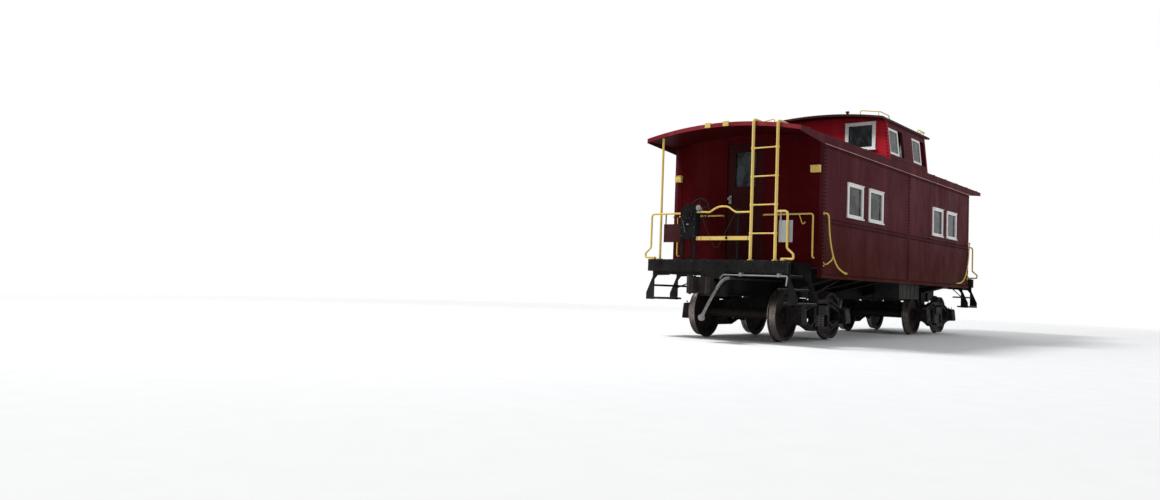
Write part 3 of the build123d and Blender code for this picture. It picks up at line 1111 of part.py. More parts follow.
def make_brakes():
    """Truss brake beams with shoes and hangers on the inner sides of the wheels, about the origin"""
    pieces = []
    wheel_y = WHEEL_BACK_HALF + RIM_WIDTH / 2 + 14
    shoe_inner = TREAD_RADIUS + SHOE_CLEARANCE
    frame_face = SIDE_FRAME_Y - SIDE_FRAME_WEB / 2
    pin_z = RAIL_TOP + 628
    beam_z = AXLE_HEIGHT - 40
    for hand in (-1, 1):
        axle = hand * HALF_WHEELBASE
        ring = disc((axle, -SHOE_WIDTH / 2, AXLE_HEIGHT), (0, 1, 0), shoe_inner + SHOE_THICKNESS, SHOE_WIDTH)
        ring -= disc((axle, -SHOE_WIDTH / 2, AXLE_HEIGHT), (0, 1, 0), shoe_inner, SHOE_WIDTH)
        outer = axle - hand * (shoe_inner + SHOE_THICKNESS + 10)
        xs = sorted((outer, axle - hand * (shoe_inner - 60)))
        shoe = ring & block(xs[0], xs[1], -SHOE_WIDTH, SHOE_WIDTH, AXLE_HEIGHT - 170, AXLE_HEIGHT + 130)
        beam_x = axle - hand * (shoe_inner + SHOE_THICKNESS + 25)
        truss_x = beam_x - hand * BEAM_TRUSS_DEPTH
        beam = bar([(beam_x, -wheel_y - 60, beam_z), (beam_x, wheel_y + 60, beam_z)], BEAM_RADIUS)
        beam += bar([(beam_x, -wheel_y + 90, beam_z), (truss_x, 0, beam_z), (beam_x, wheel_y - 90, beam_z)],
                    BEAM_RADIUS / 2, bend=80)
        xs = sorted((beam_x, truss_x))
        beam += block(xs[0], xs[1], -18, 18, beam_z - 20, beam_z + 20)
        for side in (-1, 1):
            y = side * wheel_y
            beam += shoe.moved(Location((0, y, 0)))
            head = sorted((beam_x, axle - hand * (shoe_inner + 8)))
            beam += block(head[0], head[1], y - 30, y + 30, beam_z - 60, beam_z + 60)
            beam += bar([(beam_x, y, beam_z), (beam_x, y, pin_z)], BEAM_RADIUS / 2)
            beam += bar([(beam_x, y - side * 20, pin_z), (beam_x, side * frame_face, pin_z)],
                        BEAM_RADIUS * 0.6)
        pieces.append(beam)
    return group(*pieces)


def make_air_gear():
    """Brake cylinder and domed air reservoir hung from the underframe"""
    top = FLOOR_UNDER
    strap = CYLINDER_RADIUS * 0.4
    collar_x = CYLINDER_START - CYLINDER_COLLAR
    rod_x = collar_x - CYLINDER_ROD_LENGTH
    cylinder = disc((CYLINDER_START, GEAR_Y, GEAR_HEIGHT), (1, 0, 0), CYLINDER_RADIUS, CYLINDER_LENGTH)
    cylinder += disc((collar_x, GEAR_Y, GEAR_HEIGHT), (1, 0, 0), CYLINDER_RADIUS + 35, CYLINDER_COLLAR)
    cylinder += disc((rod_x, GEAR_Y, GEAR_HEIGHT), (1, 0, 0), 32, CYLINDER_ROD_LENGTH)
    tank = disc((TANK_START, GEAR_Y, GEAR_HEIGHT), (1, 0, 0), TANK_RADIUS, TANK_LENGTH)
    tank = fillet(tank.edges().filter_by(GeomType.CIRCLE), TANK_HEAD)
    for x in (CYLINDER_START + 80, CYLINDER_START + 310):
        cylinder += block(x, x + STRAP_WIDTH, GEAR_Y - strap, GEAR_Y + strap, GEAR_HEIGHT, top)
    for x in (TANK_START + 140, TANK_START + TANK_LENGTH - 200):
        tank += disc((x, GEAR_Y, GEAR_HEIGHT), (1, 0, 0), TANK_RADIUS + 6, STRAP_WIDTH)
        tank += block(x, x + STRAP_WIDTH, GEAR_Y - strap, GEAR_Y + strap, GEAR_HEIGHT, top)
    return group(cylinder, tank)


def make_equipment_box():
    """Ribbed battery box hung under the side sill towards -Y"""
    face = -INNER_HALF_WIDTH
    box = block(BOX_X[0], BOX_X[1], face + BOX_RIB, face + BOX_DEPTH, BOX_BOTTOM, SIDE_SILL_BOTTOM)
    ribs = 6
    pitch = (BOX_X[1] - BOX_X[0] - BOX_RIB * 5) / (ribs - 1)
    for count in range(ribs):
        x = BOX_X[0] + count * pitch
        box += block(x, x + BOX_RIB * 5, face, face + BOX_RIB, BOX_BOTTOM, SIDE_SILL_BOTTOM)
    box += block(BOX_X[0], BOX_X[1], face, face + BOX_RIB, BOX_BOTTOM, BOX_BOTTOM + BOX_RIB * 3)
    top = SIDE_SILL_BOTTOM
    return box + block(BOX_X[0], BOX_X[1], face, face + BOX_RIB, top - BOX_RIB * 3, top)


def make_markers():
    """Marker lamp boxes on the end wall towards -X, and lamp brackets on the roof's end"""
    x = -BODY_HALF_LENGTH - SEAM_RELIEF
    edge = BODY_HALF_WIDTH - 35
    # Columns: side, width, height of the lower edge over the rail
    pieces = []
    for side, width, low in ((-1, 155, 2780), (1, 125, 2730)):
        ys = sorted((side * edge, side * (edge - width)))
        pieces.append(block(x - 70, x, ys[0], ys[1], RAIL_TOP + low, RAIL_TOP + low + 110))
    for y in (220, -120):
        z = arc_height(y, ROOF_HALF_WIDTH, ROOF_EDGE, ROOF_RISE)
        pieces.append(block(-ROOF_HALF_LENGTH - 26, -ROOF_HALF_LENGTH, y - 50, y + 50, z + 4,
                            z + ROOF_THICKNESS + 14))
    return group(*pieces)


write("underframe", make_underframe())
write("cross_bearers", make_cross_bearers())
write("side_sills", make_side_sills())
write("cabin_floor", make_floor())
side_wall = make_side_wall()
write("side_wall_right", side_wall)
write("side_wall_left", turned(side_wall))
end_wall = make_end_wall()
write("end_wall_near", end_wall)
write("end_wall_far", turned(end_wall))
write("roof", make_roof())
write("eave_plates", make_eave_plates())
cupola_end = make_cupola_end()
write("cupola_end_near", cupola_end)
write("cupola_end_far", turned(cupola_end))
cupola_side = make_cupola_side()
write("cupola_side_right", cupola_side)
write("cupola_side_left", turned(cupola_side))
write("cupola_roof", make_cupola_roof())
write("cupola_roof_rails", make_roof_rails())

side_frames = [place * window_frame(WINDOW_WIDTH, WINDOW_HEIGHT, WALL) for place in side_window_places()]
write("window_frames_right", group(*side_frames))
write("window_frames_left", turned(group(*side_frames)))
cupola_frames = [place * window_frame(CUPOLA_END_WINDOW_WIDTH, CUPOLA_END_WINDOW_HEIGHT, CUPOLA_WALL)
                 for place in cupola_end_places()]
cupola_frames = group(*cupola_frames, make_sash(False))
write("cupola_window_frames", group(cupola_frames, turned(cupola_frames)))
panes = [place * window_pane(WINDOW_WIDTH, WINDOW_HEIGHT, WALL) for place in side_window_places()]
panes += [place * window_pane(CUPOLA_END_WINDOW_WIDTH, CUPOLA_END_WINDOW_HEIGHT, CUPOLA_WALL)
          for place in cupola_end_places()]
panes = group(*panes, make_sash(True))
write("window_glass", group(panes, turned(panes)))

# Pieces that stand at each end
end_makers = {"door": make_door, "door_glass": make_door_glass, "platform": make_platform,
              "railings": make_railings, "ladder": make_ladder, "brake_stand": make_brake_stand,
              "coupler": make_coupler, "air_hose": make_hose, "glad_hand": make_glad_hand}
for name, maker in end_makers.items():
    piece = maker()
    write(f"{name}_near", piece)
    write(f"{name}_far", turned(piece))

# Small pieces of both ends that share a node
pair_makers = {"steps": make_steps, "brake_wheels": make_brake_wheel, "handrails": make_handrails,
               "uncoupling_levers": make_lever, "marker_boxes": make_markers, "valve_pipes": make_valve_pipe}
for name, maker in pair_makers.items():
    piece = maker()
    write(name, group(piece, turned(piece)))
write("brake_pipe", make_brake_pipe())
write("air_gear", make_air_gear())
write("battery_box", make_equipment_box())

# Trucks: pieces built about the origin, then moved under each end
truck_makers = {"truck_frame": make_truck_frame, "truck_springs": make_springs, "truck_brakes": make_brakes}
wheelset = make_wheelset()
for end, x in (("near", -TRUCK_CENTRE), ("far", TRUCK_CENTRE)):
    for name, maker in truck_makers.items():
        write(f"{name}_{end}", maker().moved(Location((x, 0, 0))))
    for mark, hand in (("outer", -1), ("inner", 1)):
        sign = hand if end == "near" else -hand
        place = Location((x + sign * HALF_WHEELBASE, 0, AXLE_HEIGHT))
        write(f"wheelset_{end}_{mark}", wheelset.moved(place))
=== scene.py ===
from math import cos, pi, radians, sin, sqrt

import bpy
import bmesh
from mathutils import Matrix, Vector


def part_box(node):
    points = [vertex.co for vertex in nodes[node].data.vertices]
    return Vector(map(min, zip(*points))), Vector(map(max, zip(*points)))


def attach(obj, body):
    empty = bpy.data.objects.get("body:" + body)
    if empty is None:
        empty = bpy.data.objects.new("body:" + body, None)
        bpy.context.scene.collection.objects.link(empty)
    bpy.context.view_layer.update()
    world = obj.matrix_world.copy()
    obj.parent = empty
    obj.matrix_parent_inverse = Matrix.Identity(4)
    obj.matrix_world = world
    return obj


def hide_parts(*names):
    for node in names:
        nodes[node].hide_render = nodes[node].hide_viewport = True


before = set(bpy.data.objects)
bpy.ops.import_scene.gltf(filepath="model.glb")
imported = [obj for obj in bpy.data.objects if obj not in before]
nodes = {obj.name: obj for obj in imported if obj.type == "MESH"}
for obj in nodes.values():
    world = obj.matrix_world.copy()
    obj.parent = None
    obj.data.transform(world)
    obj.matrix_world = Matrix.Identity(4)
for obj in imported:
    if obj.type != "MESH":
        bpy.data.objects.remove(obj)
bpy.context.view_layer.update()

# Driving dimensions of the car in metres, as the frame has them. X runs along the car and Y across it, and
# heights count from the lowest point of the wheel flanges. The near end is the one towards -X, and what both
# ends have is placed as at the near end
RAIL_TOP = 0.026

# Body
SIDE_Y = 1.420
WALL = 0.060
BODY_X = 4.128
SIDE_BOTTOM = RAIL_TOP + 1.063
BELT = RAIL_TOP + 2.000
EAVE = RAIL_TOP + 3.243
DECK = RAIL_TOP + 1.293
SEAM_RELIEF = 0.006
SEAM_HALF_WIDTH = 0.045
CORNER_PLATE = 0.090

# Roof and cupola
ROOF_HALF_WIDTH = 1.440
ROOF_EDGE = RAIL_TOP + 3.334
ROOF_RISE = 0.160
ROOF_THICKNESS = 0.068
CUPOLA_X = 1.120
CUPOLA_EAVE = RAIL_TOP + 4.150
CUPOLA_TOP_Y = 1.338
CUPOLA_ROOF_Y = 1.362
CUPOLA_ROOF_RISE = 0.125

# Windows and doors
WINDOW_CENTRES = (-2.775, -1.795, 1.795, 2.775)
WINDOW_WIDTH = 0.710
WINDOW_HEIGHT = 0.610
WINDOW_BOTTOM = RAIL_TOP + 2.120
DOORWAY_CLEAR = 0.440
DOOR_FACE = 4.112
DOOR_BACK = 4.068
PANE_HALF_WIDTH = 0.205
PANE_BOTTOM = RAIL_TOP + 2.590
PANE_TOP = RAIL_TOP + 3.220
KNOB_Y = 0.289
KNOB_HEIGHT = RAIL_TOP + 2.400

# End platforms, with their railing, ladder, steps and brake stand
SILL_X = 5.120
SILL_HALF_WIDTH = 1.285
DECK_HALF_WIDTH = 0.925
DECK_XS = (-5.000, -4.180)
RAILING_X = 5.068
RAILING_TOP = RAIL_TOP + 2.068
KICK_BAR_BOTTOM = RAIL_TOP + 1.617
LADDER_YS = (-0.641, -1.068)
RUNG_HEIGHTS = (RAIL_TOP + 1.722, RAIL_TOP + 2.177, RAIL_TOP + 2.632, RAIL_TOP + 3.087)
POLE = (-RAILING_X + 0.078, 1.130)
STEP_XS = (-4.951, -4.214)
STAND_FACE = -5.103
STAND_Y = 0.517
GEAR_Z = RAIL_TOP + 2.055
HUB_Y = 0.417
HUB_Z = RAIL_TOP + 2.145
HUB_RADIUS = 0.036

# Trucks
FRAME_FACE = 1.040
LID_FACE = 1.130
AXLE_OFFSET = 0.915
AXLE_HEIGHT = RAIL_TOP + 0.419
TREAD_RADIUS = 0.408

END_NAMES = {-1: "near", 1: "far"}
SIDE_NAMES = {-1: "right", 1: "left"}

# How far a test of a place reaches past the face that it is about
REACH = 0.002


# Node trees

def add_node(tree, kind, inputs=(), output=0, **settings):
    """One output of a new node, with the node's settings, and its inputs given as values or as sockets"""
    node = tree.nodes.new(kind)
    for key, value in settings.items():
        setattr(node, key, value)
    for key, value in dict(inputs).items():
        if isinstance(value, bpy.types.NodeSocket):
            tree.links.new(value, node.inputs[key])
        else:
            node.inputs[key].default_value = value
    return node.outputs[output]


def colour(value):
    """A colour as four numbers, or a socket as it is"""
    return value if isinstance(value, bpy.types.NodeSocket) else (*value, 1.0)


class Tree:
    """A material's node tree, built call by call"""

    def __init__(self, name):
        self.material = bpy.data.materials.new(name)
        self.material.use_nodes = True
        self.tree = self.material.node_tree
        self.tree.nodes.clear()
        self.place = self.add("ShaderNodeTexCoord", output="Object")

    def add(self, kind, inputs=(), output=0, **settings):
        """One output of a new node in this material"""
        return add_node(self.tree, kind, inputs, output, **settings)

    def noise(self, scale, detail, stretch=(1, 1, 1), roughness=0.55, distortion=0.0):
        """Noise over the object, with its scale in turns per metre"""
        vector = self.add("ShaderNodeMapping", {"Vector": self.place, "Scale": stretch})
        return self.add("ShaderNodeTexNoise", {"Vector": vector, "Scale": scale, "Detail": detail,
                                               "Roughness": roughness, "Distortion": distortion})

    def ramp(self, value, low, high, bottom=0.0, top=1.0):
        """Value stretched from low..high to bottom..top and clamped"""
        return self.add("ShaderNodeMapRange", {"Value": value, "From Min": low, "From Max": high,
                                               "To Min": bottom, "To Max": top})

    def math(self, operation, first, second=0.0):
        """One arithmetic node"""
        return self.add("ShaderNodeMath", {0: first, 1: second}, operation=operation)

    def mix(self, share, first, second, blend="MIX"):
        """Two colours mixed: the mix node has them in inputs 6 and 7, and the result in output 2"""
        return self.add("ShaderNodeMix", {0: share, 6: colour(first), 7: colour(second)}, 2, data_type="RGBA",
                        blend_type=blend)

    def stain(self, tone, mask, share, over):
        """A tone with another laid over it, by a share of a mask"""
        return self.mix(self.math("MULTIPLY", mask, share), tone, over)

    def within(self, distance, limit):
        """One where a distance from the middle is under a limit either way, and nothing elsewhere"""
        return self.math("LESS_THAN", self.math("ABSOLUTE", distance), limit)

    def split(self):
        """Distances along X, Y and Z over the object"""
        node = self.tree.nodes.new("ShaderNodeSeparateXYZ")
        self.tree.links.new(self.place, node.inputs[0])
        return tuple(node.outputs)

    def bump(self, height, distance, strength, normal=None):
        """Bump from a height socket, over another bump if one is given"""
        inputs = {"Height": height, "Distance": distance, "Strength": strength}
        if normal is not None:
            inputs["Normal"] = normal
        return self.add("ShaderNodeBump", inputs)

    def shader(self, **inputs):
        """The shader, with its inputs named as on the node"""
        return self.add("ShaderNodeBsdfPrincipled",
                        {key.replace("_", " "): value for key, value in inputs.items()})

    def show(self, surface):
        """The material, with a shader for its surface"""
        output = self.tree.nodes.new("ShaderNodeOutputMaterial")
        self.tree.links.new(surface, output.inputs[0])
        return self.material

    def finish(self, **inputs):
        """The material, with one shader made from these inputs"""
        return self.show(self.shader(**inputs))


# Materials, with their colours in linear values

RUST = (0.105, 0.040, 0.018)
DUST = (0.30, 0.255, 0.215)
GRIME = (0.020, 0.016, 0.014)
OIL = (0.008, 0.008, 0.008)
SAND = (0.14, 0.12, 0.105)
BRAKE_DUST = (0.12, 0.10, 0.085)
LINING = (0.070, 0.070, 0.058)
# The side's red and faded red carry a painted sky reflection. The foot colour is the plain paint without it
SIDE_RED_WITH_SKY_REFLECTION = (0.060, 0.0110, 0.0160)
SIDE_FADED_WITH_SKY_REFLECTION = (0.090, 0.0205, 0.0255)
SIDE_FOOT = (0.046, 0.0040, 0.0022)

# Heights over which the side's painted sky reflection gives way to the plain foot colour, and the dust from
# below gives way
FOOT_HEIGHTS = (SIDE_BOTTOM + 0.35, BELT + 0.30)
DUST_HEIGHTS = (0.9, 2.1)


def painted(name, base, faded, rough=0.42, dust=0.35, chips=0.06, streaks=0.35, wave=0.0, inside=None,
            foot=None, gloss=0.03):
    """Old paint on steel: faded patches, pale and dark runs, dust from below, chips to rust, wavy sheets.
    The foot is the plain colour low on the car, where the painted sky reflection in the side's colours fades
    out, and the inside is the colour within its walls"""
    tree = Tree(name)
    along, across, up = tree.split()
    patches = tree.ramp(tree.noise(0.9, 5, distortion=0.6), 0.35, 0.68)
    tone = tree.stain(base, patches, 0.75, faded)
    mottle = tree.ramp(tree.noise(9, 3, roughness=0.6), 0.3, 0.75, 0.96, 1.04)
    tone = tree.mix(1.0, tone, mottle, "MULTIPLY")
    pale_runs = tree.ramp(tree.noise(1.0, 1, stretch=(2.6, 2.6, 0.35)), 0.53, 0.72)
    tone = tree.stain(tone, pale_runs, streaks, tuple(1.6 * c + 0.010 for c in faded))
    dark_runs = tree.ramp(tree.noise(1.0, 1, stretch=(6, 6, 0.5)), 0.56, 0.80)
    tone = tree.stain(tone, dark_runs, streaks * 0.3, GRIME)
    # Painted sky reflection: the side's colours carry it, and towards the bottom they give way to the plain
    # foot colour
    if foot is not None:
        tone = tree.mix(tree.ramp(up, *FOOT_HEIGHTS, 0.92, 0.0), tone, foot)
    if inside is not None:
        deep = tree.math("MULTIPLY", tree.within(across, SIDE_Y - WALL + REACH),
                         tree.within(along, BODY_X - WALL + REACH))
        tone = tree.mix(deep, tone, inside)
    low = tree.ramp(up, *DUST_HEIGHTS, 1.0, 0.12)
    specks = tree.ramp(tree.noise(5, 6), 0.36, 0.72)
    tone = tree.stain(tone, tree.math("MULTIPLY", low, specks), dust, DUST)
    wide = tree.ramp(tree.noise(2.2, 3), 0.50, 0.66)
    fine = tree.ramp(tree.noise(46, 5, roughness=0.65), 0.60, 0.66)
    worn = tree.math("MULTIPLY", tree.math("MULTIPLY", wide, fine), min(1.0, chips * 9))
    tone = tree.mix(worn, tone, RUST)
    roughness = tree.ramp(tree.noise(1.8, 2), 0.3, 0.7, rough, rough + 0.14)
    roughness = tree.math("ADD", roughness, tree.math("MULTIPLY", worn, 0.3))
    skin = tree.bump(tree.noise(190, 3), 0.0006, 0.15)
    skin = tree.bump(worn, -0.0008, 0.6, skin)
    if wave:
        skin = tree.bump(tree.noise(1.5, 2, stretch=(1.0, 1.0, 0.7)), wave, 0.8, skin)
    return tree.finish(Base_Color=tone, Roughness=roughness, Normal=skin, Specular_IOR_Level=gloss)


def cast(name, base, rust=0.35, rough=0.72, oil=0.3):
    """Cast or forged steel: sandy skin, rust bloom, oily dirt"""
    tree = Tree(name)
    bloom = tree.ramp(tree.noise(7, 7, roughness=0.7), 0.42, 0.70)
    tone = tree.stain(base, bloom, rust, RUST)
    wet = tree.ramp(tree.noise(3.1, 4), 0.50, 0.66)
    tone = tree.stain(tone, wet, oil, OIL)
    dust = tree.ramp(tree.noise(9, 6), 0.48, 0.8)
    tone = tree.stain(tone, dust, 0.18, SAND)
    roughness = tree.math("SUBTRACT", tree.ramp(tree.noise(22, 5), 0.3, 0.7, rough - 0.1, rough + 0.14),
                          tree.math("MULTIPLY", wet, 0.25))
    skin = tree.bump(tree.noise(120, 6, roughness=0.7), 0.0022, 0.6)
    skin = tree.bump(bloom, 0.0015, 0.4, skin)
    return tree.finish(Base_Color=tone, Roughness=roughness, Normal=skin, Metallic=0.05,
                       Specular_IOR_Level=0.12)


def wheel_metal(name):
    """Wheelset's web and axle: dark steel with a bloom of rust and brake dust"""
    tree = Tree(name)
    bloom = tree.ramp(tree.noise(6, 7, roughness=0.72), 0.36, 0.66)
    tone = tree.mix(bloom, (0.009, 0.0085, 0.0085), (0.024, 0.015, 0.012))
    dust = tree.ramp(tree.noise(10, 6), 0.45, 0.75)
    tone = tree.stain(tone, dust, 0.12, BRAKE_DUST)
    skin = tree.bump(tree.noise(90, 6, roughness=0.7), 0.002, 0.6)
    roughness = tree.ramp(tree.noise(18, 4), 0.3, 0.7, 0.58, 0.86)
    return tree.finish(Base_Color=tone, Roughness=roughness, Normal=skin, Metallic=0.05,
                       Specular_IOR_Level=0.12)


def tread_metal(name):
    """Tread of a wheel, worn bright"""
    tree = Tree(name)
    band = tree.ramp(tree.noise(30, 5), 0.35, 0.7)
    tone = tree.mix(band, (0.24, 0.22, 0.21), (0.13, 0.09, 0.07))
    roughness = tree.ramp(tree.noise(40, 4), 0.3, 0.7, 0.28, 0.55)
    skin = tree.bump(tree.noise(150, 4), 0.0008, 0.4)
    return tree.finish(Base_Color=tone, Roughness=roughness, Normal=skin, Metallic=0.85)


def rubber(name):
    """Fabric-wrapped air hose: fine wrap, dusty, scuffed"""
    tree = Tree(name)
    scuff = tree.ramp(tree.noise(26, 6), 0.40, 0.75)
    tone = tree.stain((0.13, 0.13, 0.127), scuff, 0.7, (0.36, 0.355, 0.34))
    wrap = tree.noise(260, 2, stretch=(1, 1, 1.6))
    skin = tree.bump(wrap, 0.0012, 0.6)
    roughness = tree.ramp(scuff, 0.0, 1.0, 0.68, 0.88)
    return tree.finish(Base_Color=tone, Roughness=roughness, Normal=skin)


def window_glass(name):
    """Old window glass: dusty film, slight waves"""
    tree = Tree(name)
    film = tree.ramp(tree.noise(3.4, 5, stretch=(1, 1, 0.6), roughness=0.6, distortion=1.4), 0.44, 0.60)
    tone = tree.mix(film, (0.004, 0.006, 0.009), (0.15, 0.18, 0.195))
    roughness = tree.ramp(film, 0.0, 1.0, 0.03, 0.22)
    skin = tree.bump(tree.noise(3.0, 2), 0.004, 0.35)
    return tree.finish(Base_Color=tone, Roughness=roughness, Normal=skin, Transmission_Weight=0.75, IOR=1.25,
                       Specular_IOR_Level=0.2)


# Columns: the paint's colour, with painted light or shade in it where a row says so, its faded colour, and
# what differs from ordinary old paint
paints = {
    # The side's red and its faded red carry a painted sky reflection, which fades out towards the body's foot
    "body_paint": (SIDE_RED_WITH_SKY_REFLECTION, SIDE_FADED_WITH_SKY_REFLECTION, dict(dust=0.02, chips=0.02, streaks=0.30, wave=0.05, gloss=0.010,
                                              inside=LINING, foot=SIDE_FOOT)),
    "cupola_paint": (SIDE_RED_WITH_SKY_REFLECTION, SIDE_FADED_WITH_SKY_REFLECTION, dict(dust=0.04, chips=0.02, streaks=0.3, wave=0.04, gloss=0.010)),
    # Rivet heads and their collars are dark as painted shade, with grime
    "rivet_shade_paint": ((0.016, 0.0025, 0.003), (0.028, 0.005, 0.006), dict(dust=0.02, streaks=0.1)),
    "edge_paint": ((0.40, 0.245, 0.205), (0.48, 0.33, 0.28), dict(dust=0.2, streaks=0.4)),
    # Painted shade: the undersides of the roofs take a very dark copy of the red paint
    "shaded_under_roof": ((0.026, 0.0012, 0.0015), (0.040, 0.003, 0.004), dict(dust=0.03, streaks=0.1, gloss=0.012)),
    "maroon_paint": ((0.040, 0.010, 0.012), (0.06, 0.018, 0.02), dict(dust=0.1, streaks=0.2)),
    # Painted shade: the end walls take a darker copy of the red paint
    "shaded_end_paint": ((0.055, 0.0014, 0.0029), (0.070, 0.004, 0.0065),
                  dict(dust=0.03, streaks=0.2, wave=0.04, inside=LINING, gloss=0.012)),
    # Painted sunlight: the cupola's end walls take a lighter copy of the red paint
    "sunlit_red": ((0.34, 0.006, 0.016), (0.40, 0.018, 0.030),
                   dict(dust=0.05, chips=0.05, streaks=0.3, wave=0.03)),
    # Painted sunlight: the roof's end faces take a lighter copy of the red paint, with chips and streaks
    "sunlit_fascia_paint": ((0.19, 0.010, 0.018), (0.30, 0.045, 0.055), dict(dust=0.1, chips=0.12, streaks=0.5)),
    "door_paint": ((0.026, 0.0035, 0.0038), (0.036, 0.006, 0.007), dict(dust=0.03, streaks=0.2)),
    "roof_tar": ((0.030, 0.026, 0.027), (0.060, 0.052, 0.050),
                 dict(rough=0.7, dust=0.5, chips=0.02, streaks=0.15)),
    "black_paint": ((0.006, 0.006, 0.007), (0.014, 0.014, 0.015),
                    dict(rough=0.5, dust=0.05, chips=0.10, streaks=0.25)),
    "yellow_paint": ((0.72, 0.50, 0.115), (0.76, 0.58, 0.22), dict(dust=0.08, chips=0.10, streaks=0.22)),
    "white_paint": ((0.82, 0.81, 0.79), (0.72, 0.69, 0.66),
                    dict(rough=0.5, dust=0.10, chips=0.05, streaks=0.30)),
    "grey_paint": ((0.018, 0.020, 0.019), (0.034, 0.036, 0.034),
                   dict(rough=0.6, dust=0.08, chips=0.12, streaks=0.4)),
    "plate_paint": ((0.34, 0.36, 0.35), (0.44, 0.45, 0.43), dict(rough=0.5, dust=0.1, streaks=0.4)),
    "floor_paint": ((0.085, 0.055, 0.042), (0.13, 0.09, 0.07), dict(rough=0.7, dust=0.4)),
}
# Columns: the metal's own colour, and what differs from ordinary cast steel
castings = {
    "galvanised": ((0.30, 0.30, 0.30), dict(rust=0.30, rough=0.5, oil=0.1)),
    "cast_steel": ((0.009, 0.009, 0.010), dict(rust=0.14)),
    "coupler_steel": ((0.016, 0.015, 0.014), dict(rust=0.18, rough=0.7)),
    "spring_steel": ((0.10, 0.105, 0.11), dict(rust=0.35)),
}
materials = {name: painted(name, base, faded, **settings) for name, (base, faded, settings) in paints.items()}
for name, (base, settings) in castings.items():
    materials[name] = cast(name, base, **settings)
for name, make in (("wheel_steel", wheel_metal), ("tread_steel", tread_metal), ("hose_rubber", rubber),
                   ("glass", window_glass)):
    materials[name] = make(name)

# Which CAD nodes take which finish, by the start of the node's name. The first finish that fits is taken
finishes = (
    ("black_paint", ("underframe", "cross_bearers", "side_sills", "valve_pipes", "platform", "steps",
                     "brake_stand", "air_gear")),
    ("yellow_paint", ("cupola_roof_rails", "railings", "ladder", "handrails", "marker_boxes")),
    ("body_paint", ("side_wall",)),
    # The end walls take a darker copy of the red, as painted shade
    ("shaded_end_paint", ("end_wall",)),
    # The cupola's end walls take a lighter copy of the red, as painted sunlight
    ("sunlit_red", ("cupola_end",)),
    ("cupola_paint", ("cupola_side", "eave_plates")),
    ("roof_tar", ("roof", "cupola_roof")),
    ("white_paint", ("window_frames", "cupola_window_frames")),
    ("glass", ("window_glass", "door_glass")),
    ("door_paint", ("door_near", "door_far")),
    ("floor_paint", ("cabin_floor",)),
    ("grey_paint", ("brake_pipe", "battery_box")),
    ("galvanised", ("glad_hand", "uncoupling")),
    ("cast_steel", ("brake_wheels", "truck_frame", "truck_brakes")),
    ("coupler_steel", ("coupler",)),
    ("spring_steel", ("truck_springs",)),
    ("wheel_steel", ("wheelset",)),
    ("hose_rubber", ("air_hose",)),
)


def finish_of(name):
    """The material for a CAD node"""
    for finish, starts in finishes:
        if name.startswith(starts):
            return materials[finish]
    raise ValueError(name)


for name, node in nodes.items():
    node.data.materials.clear()
    node.data.materials.append(finish_of(name))


def repaint(name, finish, wanted):
    """Give another finish to the faces of a CAD node whose centre and normal pass a test"""
    data = nodes[name].data
    data.materials.append(materials[finish])
    for polygon in data.polygons:
        if wanted(polygon.center, polygon.normal):
            polygon.material_index = len(data.materials) - 1


def on_knob(at, normal):
    """Whether a door's face belongs to its knobs, which stand out of the door on both sides"""
    beside = abs(at.z - KNOB_HEIGHT) < 0.035 and abs(abs(at.y) - KNOB_Y) < 0.035
    return beside and not DOOR_BACK - REACH < abs(at.x) < DOOR_FACE + REACH


# The roof's end faces take a lighter copy of the red paint as painted sunlight, and its side edges the side's
# red. The undersides of both roofs take a very dark copy as painted shade, and the cupola roof's end faces a
# darker red. The drip ledge is pale. The hubs of the brake wheels, the door knobs and the treads of the
# wheels are bare metal
repaint("roof", "sunlit_fascia_paint", lambda at, normal: abs(normal.x) > 0.9 and abs(at.x) > BODY_X)
repaint("roof", "cupola_paint", lambda at, normal: abs(normal.y) > 0.9)
repaint("roof", "shaded_under_roof", lambda at, normal: normal.z < -0.5)
repaint("cupola_roof", "maroon_paint", lambda at, normal: abs(normal.x) > 0.9 and abs(at.x) > CUPOLA_X)
repaint("cupola_roof", "shaded_under_roof", lambda at, normal: normal.z < -0.5)
repaint("eave_plates", "edge_paint", lambda at, normal: abs(at.y) > ROOF_HALF_WIDTH + 0.001)
repaint("brake_wheels", "galvanised",
        lambda at, normal: sqrt((abs(at.y) - HUB_Y) ** 2 + (at.z - HUB_Z) ** 2) < HUB_RADIUS)
repaint("door_near", "galvanised", on_knob)
repaint("door_far", "galvanised", on_knob)
for name in nodes:
    if name.startswith("wheelset"):
        low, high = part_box(name)
        axle_x = (low.x + high.x) / 2
        axle_z = (low.z + high.z) / 2
        repaint(name, "tread_steel",
                lambda at, normal: sqrt((at.x - axle_x) ** 2 + (at.z - axle_z) ** 2) > TREAD_RADIUS
                and abs(normal.y) < 0.5)


# Mesh helpers

def new_piece(name, mesh, finish, body="carbody", smooth=False):
    """An object from a bmesh, with its finish, riding on a body"""
    data = bpy.data.meshes.new(name)
    mesh.to_mesh(data)
    mesh.free()
    data.materials.append(materials[finish])
    for polygon in data.polygons:
        polygon.use_smooth = smooth
    piece = bpy.data.objects.new(name, data)
    bpy.context.scene.collection.objects.link(piece)
    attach(piece, body)


def at_end(end, mesh, name, finish, body="carbody"):
    """A piece modelled at the near end, turned half round for the far end"""
    if end > 0:
        bmesh.ops.rotate(mesh, verts=mesh.verts, cent=(0, 0, 0), matrix=Matrix.Rotation(pi, 3, "Z"))
    new_piece(f"{name}_{END_NAMES[end]}", mesh, finish, body)


def end_place(end, x, y, z):
    """A place given at the near end, turned half round for the far end"""
    return (x, y, z) if end < 0 else (-x, -y, z)


